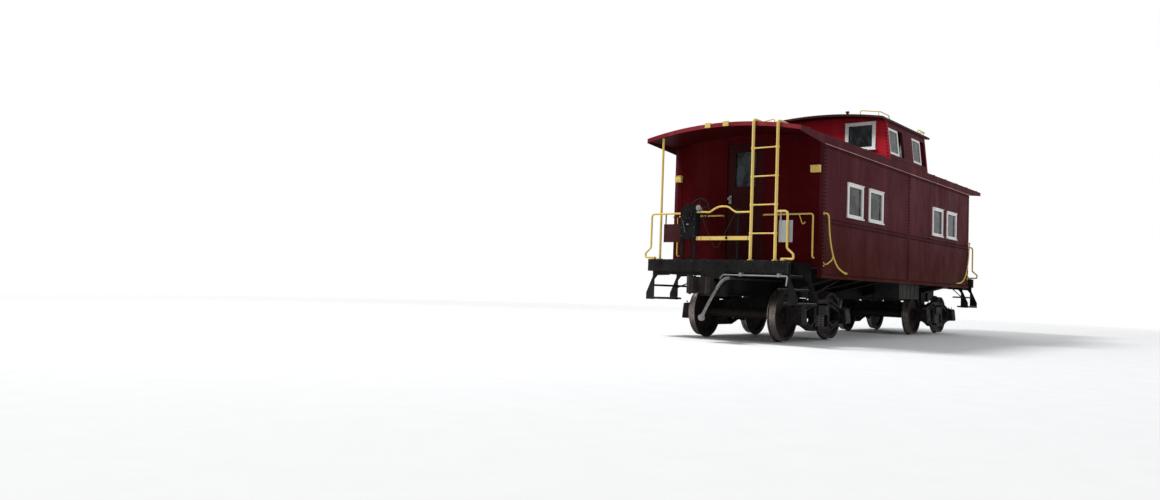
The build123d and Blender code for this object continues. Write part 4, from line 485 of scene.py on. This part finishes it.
def add_box(mesh, low, high, bevel=0.0):
    """A block between two corners, with its edges broken if a bevel is given"""
    size = [abs(b - a) for a, b in zip(low, high)]
    middle = [(a + b) / 2 for a, b in zip(low, high)]
    place = Matrix.Translation(middle) @ Matrix.Diagonal((*size, 1))
    made = bmesh.ops.create_cube(mesh, size=1, matrix=place)
    if bevel:
        edges = {edge for vertex in made["verts"] for edge in vertex.link_edges}
        bmesh.ops.bevel(mesh, geom=list(edges), offset=bevel, segments=2, affect="EDGES", profile=0.6)


def axis_turn(direction):
    """Turn that takes +Z to a direction"""
    return Vector((0, 0, 1)).rotation_difference(Vector(direction)).to_matrix().to_4x4()


def add_rod(mesh, start, end, radius, sides=12, tip=None):
    """A round rod between two points, tapered if a tip radius is given"""
    start = Vector(start)
    end = Vector(end)
    place = Matrix.Translation((start + end) / 2) @ axis_turn(end - start)
    bmesh.ops.create_cone(mesh, cap_ends=True, segments=sides, radius1=radius,
                          radius2=radius if tip is None else tip, depth=(end - start).length, matrix=place)


# Radius and height of the heads of bolts, and of the six-sided cover of a keyhole
COLUMN_BOLT = (0.013, 0.012)
BOX_BOLT = (0.015, 0.014)
LID_BOLT = (0.009, 0.010)
STRIKER_BOLT = (0.016, 0.012)
FOOT_BOLT = (0.007, 0.006)
STAND_BOLT = (0.009, 0.008)
BAR_BOLT = (0.008, 0.006)
SIGN_BOLT = (0.007, 0.005)
SMALL_BOLT = (0.006, 0.006)
KEYHOLE_COVER = (0.009, 0.003)


def add_bolt(mesh, at, normal, size):
    """One hexagonal bolt head on a surface"""
    radius, height = size
    at = Vector(at)
    add_rod(mesh, at, at + Vector(normal).normalized() * height, radius, sides=6)


# Radius and height of the heads of rivets and screws
PLATE_RIVET = (0.0145, 0.010)
END_RIVET = (0.012, 0.007)
SMALL_RIVET = (0.011, 0.006)
SILL_RIVET = (0.014, 0.009)
TRUCK_RIVET = (0.015, 0.009)
LOCK_SCREW = (0.005, 0.003)

# Columns: radius and height of the rings of a rivet's head, as shares of the head's own. The first ring is a
# low collar in the dark rivet paint, painted shade round the head together with its grime
RIVET_RINGS = ((1.2, 0.05), (1.0, 0.16), (0.86, 0.60), (0.48, 0.92))
RIVET_SIDES = 8


def add_rivet(mesh, at, normal, size=PLATE_RIVET):
    """One domed rivet head on a surface"""
    radius, height = size
    turn = Matrix.Translation(at) @ axis_turn(normal)
    angles = [2 * pi * i / RIVET_SIDES for i in range(RIVET_SIDES)]
    rings = [[mesh.verts.new(turn @ Vector((wide * radius * cos(a), wide * radius * sin(a), tall * height)))
              for a in angles] for wide, tall in RIVET_RINGS]
    top = mesh.verts.new(turn @ Vector((0, 0, height)))
    for lower, upper in zip(rings, rings[1:]):
        for i in range(RIVET_SIDES):
            j = (i + 1) % RIVET_SIDES
            mesh.faces.new((lower[i], lower[j], upper[j], upper[i]))
    for i in range(RIVET_SIDES):
        mesh.faces.new((rings[-1][i], rings[-1][(i + 1) % RIVET_SIDES], top))
    mesh.faces.new(list(reversed(rings[0])))


def steps_between(start, end, pitch):
    """Evenly spaced places between two values, about a pitch apart"""
    count = max(1, round(abs(end - start) / pitch))
    return [start + (end - start) * i / count for i in range(count + 1)]


def smooth_curve(name, points, resolution):
    """A smooth curve from the first to the last of some points"""
    curve = bpy.data.curves.new(name, "CURVE")
    curve.dimensions = "3D"
    spline = curve.splines.new("NURBS")
    spline.points.add(len(points) - 1)
    for point, at in zip(spline.points, points):
        point.co = (*at, 1.0)
    spline.order_u = 3
    spline.use_endpoint_u = True
    curve.resolution_u = resolution
    return curve


def arc_height(y, half_width, edge, rise):
    """Height of a roof's arc at a place across the car"""
    radius = (half_width ** 2 + rise ** 2) / (2 * rise)
    return edge + rise - radius + sqrt(radius ** 2 - y ** 2)


def lean(z):
    """Half width of the cupola's side at a height"""
    base = ROOF_EDGE + ROOF_THICKNESS
    return SIDE_Y + (CUPOLA_TOP_Y - SIDE_Y) * (z - base) / (CUPOLA_EAVE - base)


# Rivets

RIVET_PITCH = 0.062
# Places along the car of the paired rows on the seams, and of the rows on the posts between them
SEAM_XS = (-BODY_X + 0.022, -BODY_X + 0.068, -0.024, 0.024, BODY_X - 0.068, BODY_X - 0.022)
POST_XS = (-3.42, -2.285, -1.25, 1.25, 2.285, 3.42)
# Places across the car of the rows on an end wall
END_POST_YS = (1.335, 1.285, 0.86, 0.42)
# Rise of the cupola side's normal for each metre outwards
CUPOLA_TILT = 0.11


def clear_of_windows(x, z):
    """Whether a rivet misses the side windows"""
    margin = 0.03
    return not any(abs(x - centre) < WINDOW_WIDTH / 2 + margin
                   and WINDOW_BOTTOM - margin < z < WINDOW_BOTTOM + WINDOW_HEIGHT + margin
                   for centre in WINDOW_CENTRES)


def side_rivets(side):
    """Rivet rows on a side wall"""
    mesh = bmesh.new()
    out = (0, side, 0)
    seam = SIDE_Y + SEAM_RELIEF
    # Columns: height, how far out the plate lies there, and pitch
    for z, y, pitch in ((BELT - 0.028, seam, 0.075), (BELT + 0.028, seam, 0.075),
                        (EAVE - 0.035, SIDE_Y, 0.09), (SIDE_BOTTOM + 0.065, SIDE_Y, 0.09)):
        for x in steps_between(-BODY_X + 0.02, BODY_X - 0.02, pitch):
            on_seam = abs(x) < SEAM_HALF_WIDTH or abs(x) > BODY_X - CORNER_PLATE
            add_rivet(mesh, (x, side * (seam if on_seam else y), z), out)
    foot = SIDE_BOTTOM + 0.10
    top = EAVE - 0.06
    for x in SEAM_XS:
        for z in steps_between(foot, top, RIVET_PITCH):
            if abs(z - BELT) > 0.05:
                add_rivet(mesh, (x, side * seam, z), out)
    for x in POST_XS:
        for z in steps_between(foot, top, RIVET_PITCH * 1.25):
            if abs(z - BELT) > 0.06 and clear_of_windows(x, z):
                add_rivet(mesh, (x, side * SIDE_Y, z), out, SMALL_RIVET)
    new_piece(f"side_rivets_{SIDE_NAMES[side]}", mesh, "rivet_shade_paint", smooth=True)


def end_rivets(end):
    """Rivet columns on an end wall, and rows along its foot and its belt"""
    mesh = bmesh.new()
    out = (end, 0, 0)
    x = end * BODY_X
    for y in END_POST_YS:
        top = arc_height(y, ROOF_HALF_WIDTH, ROOF_EDGE, ROOF_RISE) - 0.06
        for side in (-1, 1):
            for z in steps_between(DECK + 0.06, top, RIVET_PITCH * 1.2):
                add_rivet(mesh, (x, side * y, z), out, END_RIVET)
    for y in steps_between(-1.24, 1.24, 0.08):
        for z in (DECK + 0.05, BELT):
            if abs(y) > DOORWAY_CLEAR:
                add_rivet(mesh, (x, y, z), out, END_RIVET)
    new_piece(f"end_rivets_{END_NAMES[end]}", mesh, "rivet_shade_paint", smooth=True)


def cupola_rivets():
    """Rivets round the cupola's walls"""
    mesh = bmesh.new()
    seat = ROOF_EDGE + ROOF_THICKNESS
    base = arc_height(SIDE_Y, ROOF_HALF_WIDTH, seat, ROOF_RISE)
    for end in (-1, 1):
        out = (end, 0, 0)
        x = end * CUPOLA_X
        for y in steps_between(-1.27, 1.27, 0.075):
            roof = arc_height(y, ROOF_HALF_WIDTH, seat, ROOF_RISE)
            eave = arc_height(y, CUPOLA_ROOF_Y, CUPOLA_EAVE, CUPOLA_ROOF_RISE)
            add_rivet(mesh, (x, y, roof + 0.045), out, SMALL_RIVET)
            add_rivet(mesh, (x, y, eave - 0.02), out, SMALL_RIVET)
        for side in (-1, 1):
            sideways = (0, side, CUPOLA_TILT)
            for z in steps_between(base + 0.06, CUPOLA_EAVE - 0.04, RIVET_PITCH):
                add_rivet(mesh, (x, side * (lean(z) - 0.03), z), out, SMALL_RIVET)
                add_rivet(mesh, (end * (CUPOLA_X - 0.03), side * lean(z), z), sideways, SMALL_RIVET)
    for side in (-1, 1):
        out = (0, side, CUPOLA_TILT)
        for x in steps_between(-1.05, 1.05, 0.075):
            for z in (base + 0.045, CUPOLA_EAVE - 0.03):
                add_rivet(mesh, (x, side * lean(z), z), out, SMALL_RIVET)
        for x in (-0.13, 0.13):
            for z in steps_between(base + 0.10, CUPOLA_EAVE - 0.08, RIVET_PITCH):
                add_rivet(mesh, (x, side * lean(z), z), out, SMALL_RIVET)
    new_piece("cupola_rivets", mesh, "rivet_shade_paint", smooth=True)


for side in (-1, 1):
    side_rivets(side)
    end_rivets(side)
cupola_rivets()


# Chains: links follow a hanging line between two hooks

LINK_LENGTH = 0.034
LINK_WIDTH = 0.018
LINK_WIRE = 0.0030
LINK_SIDES = 6
LINK_STEPS = 14


def add_link(mesh, at, along, turned):
    """One oval link, turned a quarter round its length if asked"""
    side = along.cross(Vector((1, 0, 0)))
    if side.length < 0.1:
        side = along.cross(Vector((0, 1, 0)))
    side.normalize()
    if turned:
        side = along.cross(side).normalized()
    half_straight = (LINK_LENGTH - LINK_WIDTH) / 2
    bend = LINK_WIDTH / 2 - LINK_WIRE
    rings = []
    up = along.cross(side)
    for i in range(LINK_STEPS):
        angle = 2 * pi * i / LINK_STEPS
        shift = half_straight if cos(angle) > 0 else -half_straight
        centre = at + along * (shift + bend * cos(angle)) + side * (bend * sin(angle))
        out = (along * cos(angle) + side * sin(angle)).normalized()
        turns = [2 * pi * j / LINK_SIDES for j in range(LINK_SIDES)]
        rings.append([mesh.verts.new(centre + out * LINK_WIRE * cos(a) + up * LINK_WIRE * sin(a))
                      for a in turns])
    for i, ring in enumerate(rings):
        after = rings[(i + 1) % LINK_STEPS]
        for j in range(LINK_SIDES):
            k = (j + 1) % LINK_SIDES
            mesh.faces.new((ring[j], after[j], after[k], ring[k]))


def chain(name, points):
    """Chain of oval links along a smooth line through some points"""
    curve = smooth_curve(name + "_line", points, 24)
    holder = bpy.data.objects.new(name + "_line", curve)
    line_mesh = bpy.data.meshes.new_from_object(holder)
    line = [vertex.co.copy() for vertex in line_mesh.vertices]
    bpy.data.objects.remove(holder)
    bpy.data.meshes.remove(line_mesh)
    bpy.data.curves.remove(curve)
    mesh = bmesh.new()
    travelled = 0.0
    pitch = LINK_LENGTH - 2.6 * LINK_WIRE
    count = 0
    for here, there in zip(line, line[1:]):
        length = (there - here).length
        while travelled <= length:
            at = here.lerp(there, travelled / length)
            add_link(mesh, at, (there - here).normalized(), count % 2)
            travelled += pitch
            count += 1
        travelled -= length
    new_piece(name, mesh, "coupler_steel", smooth=True)


def safety_chain(end):
    """Chain that hangs across the gangway of an end railing"""
    # Columns: how far it swings out of the railing, its place across, and its height over RAIL_TOP
    swings = ((0, 0.285, 2.055), (0, 0.20, 1.85), (0, 0.09, 1.63), (0.012, -0.02, 1.45), (0, -0.11, 1.60),
              (0, -0.23, 1.84), (0, -0.345, 2.045))
    chain(f"safety_chain_{END_NAMES[end]}",
          [end_place(end, -RAILING_X - out, y, RAIL_TOP + z) for out, y, z in swings])


for end in END_NAMES:
    safety_chain(end)


# Fittings, each modelled at the near end

OUT = (-1, 0, 0)


def add_lid_relief(mesh, axle, side):
    """Two ribs, a boss and two bolts on the lid of one journal box"""
    lid = LID_FACE - 0.006
    for along in (-0.05, 0.05):
        add_rod(mesh, (axle + along, side * lid, AXLE_HEIGHT - 0.075),
                (axle + along * 0.4, side * (lid - 0.014), AXLE_HEIGHT + 0.075), 0.009, 8)
    add_rod(mesh, (axle, side * (lid - 0.012), AXLE_HEIGHT),
            (axle, side * (lid + 0.004), AXLE_HEIGHT), 0.028, 16, 0.020)
    for along in (-0.085, 0.085):
        add_bolt(mesh, (axle + along, side * (lid - 0.010), AXLE_HEIGHT - 0.095), (0, side, 0), LID_BOLT)


def truck_bolts(end):
    """Bolts and rivets on a truck's side frames, and the relief of its journal lids"""
    name = END_NAMES[end]
    low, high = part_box(f"truck_frame_{name}")
    middle = (low.x + high.x) / 2
    mesh = bmesh.new()
    for side in (-1, 1):
        face = side * FRAME_FACE
        out = (0, side, 0)
        for hand in (-1, 1):
            axle = middle + hand * AXLE_OFFSET
            for z in (0.305, 0.395, 0.575, 0.655):
                add_bolt(mesh, (middle + hand * 0.256, face, RAIL_TOP + z), out, COLUMN_BOLT)
            for along in (-0.105, 0.105):
                add_bolt(mesh, (axle + along, face, RAIL_TOP + 0.585), out, BOX_BOLT)
            add_lid_relief(mesh, axle, side)
        for along in (-0.60, -0.44, 0.44, 0.60):
            sloped = RAIL_TOP + 0.655 - 0.11 * (abs(along) - 0.25)
            add_rivet(mesh, (middle + along, face, sloped), out, TRUCK_RIVET)
    new_piece(f"truck_bolts_{name}", mesh, "cast_steel", f"{name}_truck")


def lock_plates(end):
    """Plate with its keyhole cover and screws behind each knob of a door"""
    mesh = bmesh.new()
    for face, out in ((-DOOR_FACE, -1), (-DOOR_BACK, 1)):
        raised = face + out * 0.003
        add_box(mesh, (min(face, raised), KNOB_Y - 0.026, KNOB_HEIGHT - 0.085),
                (max(face, raised), KNOB_Y + 0.026, KNOB_HEIGHT + 0.055), 0.001)
        add_bolt(mesh, (raised, KNOB_Y, KNOB_HEIGHT - 0.055), (out, 0, 0), KEYHOLE_COVER)
        for dz in (-0.076, 0.046):
            add_rivet(mesh, (raised, KNOB_Y, KNOB_HEIGHT + dz), (out, 0, 0), LOCK_SCREW)
    at_end(end, mesh, "lock_plates", "galvanised", f"{END_NAMES[end]}_door")


def door_beads(end):
    """Beads round a door's pane, on both faces"""
    half = 0.014
    outer = PANE_HALF_WIDTH + half
    mesh = bmesh.new()
    for face, out in ((-DOOR_FACE, -1), (-DOOR_BACK, 1)):
        x0, x1 = sorted((face, face + out * 0.006))
        for z in (PANE_BOTTOM, PANE_TOP):
            add_box(mesh, (x0, -outer, z - half), (x1, outer, z + half), 0.003)
        for y in (-PANE_HALF_WIDTH, PANE_HALF_WIDTH):
            add_box(mesh, (x0, y - half, PANE_BOTTOM + half), (x1, y + half, PANE_TOP - half), 0.003)
    at_end(end, mesh, "door_beads", "door_paint", f"{END_NAMES[end]}_door")


def kick_latch(end):
    """Latch on the kick bar with its pin, and bolts near the bar's ends"""
    front = -RAILING_X - 0.008
    foot = KICK_BAR_BOTTOM + 0.015
    size = 0.036
    middle = -0.204
    mesh = bmesh.new()
    add_box(mesh, (front - 0.014, middle - size / 2, foot), (front, middle + size / 2, foot + size), 0.002)
    add_rod(mesh, (front - 0.008, middle, foot + size), (front - 0.008, middle, foot + 0.068), 0.005, 8)
    for y in (0.270, -0.590):
        for z in (foot, foot + 0.033):
            add_bolt(mesh, (front, y, z), OUT, BAR_BOLT)
    at_end(end, mesh, "kick_latch", "black_paint")


def sill_bolts(end):
    """Rivets on the end sill, and bolts on the striker and on the feet of the ladder and the roof pole"""
    mesh = bmesh.new()
    for y in steps_between(-SILL_HALF_WIDTH + 0.05, SILL_HALF_WIDTH - 0.05, 0.16):
        for z in (RAIL_TOP + 1.125, DECK - 0.035):
            add_rivet(mesh, (-SILL_X, y, z), OUT, SILL_RIVET)
    for y in (-0.20, 0.20):
        for z in (0.80, 0.93, 1.03):
            add_bolt(mesh, (-SILL_X, y, RAIL_TOP + z), OUT, STRIKER_BOLT)
    circle = 0.037
    for x, y in [(-RAILING_X, y) for y in LADDER_YS] + [POLE]:
        for turn in range(4):
            angle = pi / 4 + turn * pi / 2
            place = (x + circle * cos(angle), y + circle * sin(angle), DECK + 0.012)
            add_bolt(mesh, place, (0, 0, 1), FOOT_BOLT)
    at_end(end, mesh, "sill_bolts", "coupler_steel")


def stand_fittings(end):
    """Bolts round the brake stand's gear cover and down its sides, and its hand lever"""
    mesh = bmesh.new()
    circle = 0.078
    for turn in range(8):
        angle = pi / 8 + turn * pi / 4
        place = (STAND_FACE - 0.011, STAND_Y + circle * cos(angle), GEAR_Z + circle * sin(angle))
        add_bolt(mesh, place, OUT, SMALL_BOLT)
    for y in (STAND_Y - 0.122, STAND_Y + 0.122):
        for z in (1.69, 1.83, 1.97):
            add_bolt(mesh, (STAND_FACE, y, RAIL_TOP + z), OUT, STAND_BOLT)
    pivot = (0.60, RAIL_TOP + 1.93)
    add_rod(mesh, (STAND_FACE, *pivot), (STAND_FACE - 0.035, *pivot), 0.010)
    add_rod(mesh, (STAND_FACE - 0.030, *pivot), (STAND_FACE - 0.042, 0.54, RAIL_TOP + 1.745), 0.007)
    at_end(end, mesh, "stand_fittings", "spring_steel")


def chain_sprocket(end):
    """Sprocket with its hub and hanger beside the brake stand, and a small ledge on the stand"""
    hub = Vector((-RAILING_X - 0.004, 0.335, RAIL_TOP + 2.155))
    front = hub - Vector((0.022, 0, 0))
    tooth = Vector((0.006, 0.006, 0.006))
    teeth = 12
    mesh = bmesh.new()
    add_rod(mesh, hub, front, 0.040, 20)
    add_rod(mesh, front, hub - Vector((0.040, 0, 0)), 0.019, 12, 0.014)
    for turn in range(teeth):
        angle = turn * 2 * pi / teeth
        middle = hub - Vector((0.010, 0, 0)) + Vector((0, cos(angle), sin(angle))) * 0.045
        add_box(mesh, middle - tooth, middle + tooth, 0.002)
    add_box(mesh, hub - Vector((-0.002, 0.012, 0.090)), hub + Vector((0.008, 0.012, 0.0)), 0.002)
    add_box(mesh, (STAND_FACE - 0.015, 0.497, RAIL_TOP + 1.872), (STAND_FACE, 0.540, RAIL_TOP + 1.890), 0.002)
    at_end(end, mesh, "chain_sprocket", "galvanised")


def tread_grip(end):
    """Raised bars along and across the step treads"""
    x0 = STEP_XS[0] + 0.01
    x1 = STEP_XS[1] - 0.01
    mesh = bmesh.new()
    # Columns: height of the tread's top over RAIL_TOP, its inner edge, its depth
    for top, inner, depth in ((1.078, 0.955, 0.210), (0.860, 1.060, 0.230), (0.642, 1.165, 0.240)):
        seat = RAIL_TOP + top
        for side in (-1, 1):
            for y in steps_between(inner + 0.015, inner + depth - 0.015, 0.028):
                add_box(mesh, (x0, side * y - 0.004, seat - 0.001), (x1, side * y + 0.004, seat + 0.004))
            y0, y1 = sorted((side * (inner + 0.012), side * (inner + depth - 0.012)))
            for x in steps_between(x0, x1, 0.09):
                add_box(mesh, (x - 0.003, y0, seat - 0.001), (x + 0.003, y1, seat + 0.005))
    at_end(end, mesh, "tread_grip", "galvanised")


def deck_boards(end):
    """Boards across the deck of an end platform"""
    half = 0.037
    mesh = bmesh.new()
    for x in steps_between(*DECK_XS, 0.082):
        add_box(mesh, (x - half, -DECK_HALF_WIDTH, DECK - 0.001), (x + half, DECK_HALF_WIDTH, DECK + 0.005),
                0.0015)
    at_end(end, mesh, "deck_boards", "floor_paint")


def collars(end):
    """Collars where the ladder's rungs meet its rails, and bolted pads under the ends of the grab irons"""
    mesh = bmesh.new()
    for z in RUNG_HEIGHTS:
        for y, hand in zip(LADDER_YS, (-1, 1)):
            add_rod(mesh, (-RAILING_X, y - hand * 0.027, z), (-RAILING_X, y + hand * 0.040, z), 0.0165, 12)
    for side in (-1, 1):
        # Columns: how far in from the body's corner, and height over RAIL_TOP
        for inward, z in ((0.043, 2.112), (0.082, 1.285)):
            place = Vector((-BODY_X + inward, side * (SIDE_Y + 0.005), RAIL_TOP + z))
            add_box(mesh, place - Vector((0.02, 0.002, 0.035)), place + Vector((0.02, 0.006, 0.035)), 0.001)
            for dz in (-0.022, 0.022):
                add_bolt(mesh, place + Vector((0, side * 0.004, dz)), (0, side, 0), SMALL_BOLT)
    at_end(end, mesh, "collars", "yellow_paint")


def sign_plates(end):
    """Blank plates hung on the railing, each with its straps and bolts"""
    front = -RAILING_X + 0.022
    # Columns: name, finish, first and last place across, lower and upper edge, and how far in from its sides
    # the two straps are
    for name, finish, y0, y1, low, high, first, last in (
            ("grey_plate", "plate_paint", -1.345, -1.112, 1.61, 1.95, 0.09, 0.03),
            ("maroon_plate", "maroon_paint", 0.70, 1.03, 1.61, 1.92, 0.04, 0.04)):
        mesh = bmesh.new()
        add_box(mesh, (front, y0, low), (front + 0.004, y1, high), 0.0012)
        for y in (y0 + first, y1 - last):
            add_box(mesh, (front - 0.004, y - 0.012, high - 0.05), (front, y + 0.012, RAILING_TOP))
            for z in (low + 0.035, high - 0.035):
                add_bolt(mesh, (front, y, z), OUT, SIGN_BOLT)
        at_end(end, mesh, name, finish)


def lamp_fittings(end):
    """Fronts, hasps and lids of the marker boxes, and the curled hook on a handrail"""
    face = -BODY_X - SEAM_RELIEF - 0.070
    mesh = bmesh.new()
    # Columns: side, width of the box, height of its lower edge over RAIL_TOP
    for side, width, low in ((-1, 0.155, 2.780), (1, 0.125, 2.730)):
        half = width / 2
        y = side * (SIDE_Y - 0.035 - half)
        z = RAIL_TOP + low + 0.055
        add_box(mesh, (face - 0.004, y - half + 0.01, z - 0.045), (face, y + half - 0.01, z + 0.045), 0.001)
        add_box(mesh, (face - 0.010, y - 0.012, z - 0.030), (face - 0.004, y + 0.012, z - 0.006), 0.001)
        add_box(mesh, (face - 0.010, y - half - 0.006, z + 0.055), (-BODY_X, y + half + 0.006, z + 0.060))
    rail_x = -BODY_X - 0.072
    # Columns: how far out of the handrail, place across, and height over RAIL_TOP
    hook = ((0.0, -1.056, 2.085), (-0.008, -1.105, 1.955), (-0.010, -1.128, 1.934), (-0.010, -1.152, 1.944),
            (-0.010, -1.160, 1.972))
    for (x0, y0, z0), (x1, y1, z1) in zip(hook, hook[1:]):
        add_rod(mesh, (rail_x + x0, y0, RAIL_TOP + z0), (rail_x + x1, y1, RAIL_TOP + z1), 0.008)
    at_end(end, mesh, "lamp_fittings", "yellow_paint")


for end in END_NAMES:
    for add_fitting in (truck_bolts, lock_plates, door_beads, kick_latch, sill_bolts, stand_fittings,
                        chain_sprocket, tread_grip, deck_boards, collars, sign_plates, lamp_fittings):
        add_fitting(end)


# Air hoses

HOSE_RADIUS = 0.024
HOSE_START = Vector((-5.190, -0.330, RAIL_TOP + 1.000))


def hose(end):
    """Air hose from the angle cock to its fitting"""
    # Columns: along, across and up from the cock
    steps = ((0, 0, 0), (-0.084, 0.003, -0.009), (-0.163, 0.009, -0.040), (-0.230, 0.020, -0.092),
             (-0.280, 0.040, -0.158), (-0.309, 0.070, -0.232), (-0.318, 0.114, -0.316),
             (-0.314, 0.165, -0.402), (-0.303, 0.218, -0.488), (-0.289, 0.270, -0.574))
    points = [end_place(end, *(HOSE_START + Vector(step))) for step in steps]
    name = f"air_hose_{END_NAMES[end]}"
    curve = smooth_curve(name + "_dressed", points, 16)
    curve.bevel_depth = HOSE_RADIUS
    curve.bevel_resolution = 6
    curve.use_fill_caps = True
    curve.materials.append(materials["hose_rubber"])
    piece = bpy.data.objects.new(name + "_dressed", curve)
    bpy.context.scene.collection.objects.link(piece)
    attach(piece, "carbody")
    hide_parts(name)


for end in END_NAMES:
    hose(end)


# Floor, light and camera

FLOOR_HALF_WIDTH = 150
# Distances from the car between which the floor fades away
FADE = (7.0, 22.0)
AMBIENT_STRENGTH = 0.50
AIM = Vector((0, 0, 1.8))


def stage_floor():
    """Pale floor that fades to white away from the car"""
    mesh = bmesh.new()
    bmesh.ops.create_grid(mesh, x_segments=1, y_segments=1, size=FLOOR_HALF_WIDTH)
    data = bpy.data.meshes.new("floor")
    mesh.to_mesh(data)
    mesh.free()
    floor = bpy.data.objects.new("floor", data)
    bpy.context.scene.collection.objects.link(floor)
    tree = Tree("floor_pale")
    grain = tree.ramp(tree.noise(3, 5), 0.3, 0.7, 0.84, 0.88)
    tone = tree.add("ShaderNodeCombineColor", {0: grain, 1: grain, 2: grain})
    pale = tree.shader(Base_Color=tone, Roughness=0.9, Specular_IOR_Level=0.1)
    along, across, _ = tree.split()
    squares = tree.math("ADD", tree.math("MULTIPLY", along, along), tree.math("MULTIPLY", across, across))
    away = tree.ramp(tree.math("SQRT", squares), *FADE)
    clear = tree.add("ShaderNodeBsdfTransparent")
    data.materials.append(tree.show(tree.add("ShaderNodeMixShader", {0: away, 1: pale, 2: clear})))


def stage_world():
    """Even light from all round, which the camera, glossy surfaces and glass see as white"""
    world = bpy.data.worlds.new("studio")
    bpy.context.scene.world = world
    world.use_nodes = True
    tree = world.node_tree
    tree.nodes.clear()
    rays = tree.nodes.new("ShaderNodeLightPath").outputs
    seen = add_node(tree, "ShaderNodeMath", {0: rays["Is Camera Ray"], 1: rays["Is Glossy Ray"]},
                    operation="MAXIMUM")
    seen = add_node(tree, "ShaderNodeMath", {0: seen, 1: rays["Is Transmission Ray"]}, operation="MAXIMUM")
    ambient = add_node(tree, "ShaderNodeBackground",
                       {"Color": (0.94, 0.97, 1.0, 1), "Strength": AMBIENT_STRENGTH})
    white = add_node(tree, "ShaderNodeBackground", {"Color": (1, 1, 1, 1), "Strength": 1.0})
    mix = add_node(tree, "ShaderNodeMixShader", {0: seen, 1: ambient, 2: white})
    tree.links.new(mix, tree.nodes.new("ShaderNodeOutputWorld").inputs[0])


def stage_lamps():
    """A large soft key over the near end, and weak fills from the side and behind"""
    # Columns: name, place, size, power
    for name, place, size, power in (("key", (-10, 9, 19), 5, 4200), ("side_fill", (2, -17, 9), 10, 500),
                                     ("back_fill", (16, 8, 10), 10, 700)):
        light = bpy.data.lights.new(name, "AREA")
        light.shape = "DISK"
        light.size = size
        light.energy = power
        lamp = bpy.data.objects.new(name, light)
        bpy.context.scene.collection.objects.link(lamp)
        lamp.location = place
        lamp.rotation_euler = (AIM - Vector(place)).to_track_quat("-Z", "Y").to_euler()


# The photograph's width and middle row, the row of the camera's axis, and the focal length, all in pixels
PHOTO_WIDTH = 1160
MIDDLE_ROW = 250
AXIS_ROW = 238.7
FOCAL_PIXELS = 880.4
# Width of the camera's sensor in millimetres
SENSOR = 36
CAMERA_PLACE = Vector((-17.64, -7.35, RAIL_TOP + 0.80))
CAMERA_YAW = radians(39.07)
CAMERA_PITCH = radians(3.01)
CAMERA_ROLL = radians(2.15)


def place_camera():
    """Camera at the photograph's place and angle"""
    forward = Vector((cos(CAMERA_YAW) * cos(CAMERA_PITCH), sin(CAMERA_YAW) * cos(CAMERA_PITCH),
                      sin(CAMERA_PITCH)))
    level = forward.cross(Vector((0, 0, 1))).normalized()
    upright = level.cross(forward)
    right = cos(CAMERA_ROLL) * level + sin(CAMERA_ROLL) * upright
    up = -sin(CAMERA_ROLL) * level + cos(CAMERA_ROLL) * upright
    data = bpy.data.cameras.new("camera")
    data.sensor_width = SENSOR
    data.sensor_fit = "HORIZONTAL"
    data.lens = SENSOR * FOCAL_PIXELS / PHOTO_WIDTH
    data.shift_y = -(MIDDLE_ROW - AXIS_ROW) / PHOTO_WIDTH
    data.clip_end = 500
    camera = bpy.data.objects.new("camera", data)
    bpy.context.scene.collection.objects.link(camera)
    turn = Matrix((right, up, -forward)).transposed()
    camera.matrix_world = Matrix.Translation(CAMERA_PLACE) @ turn.to_4x4()
    bpy.context.scene.camera = camera


stage_floor()
stage_world()
stage_lamps()
place_camera()
bpy.context.scene.view_settings.view_transform = "Standard"
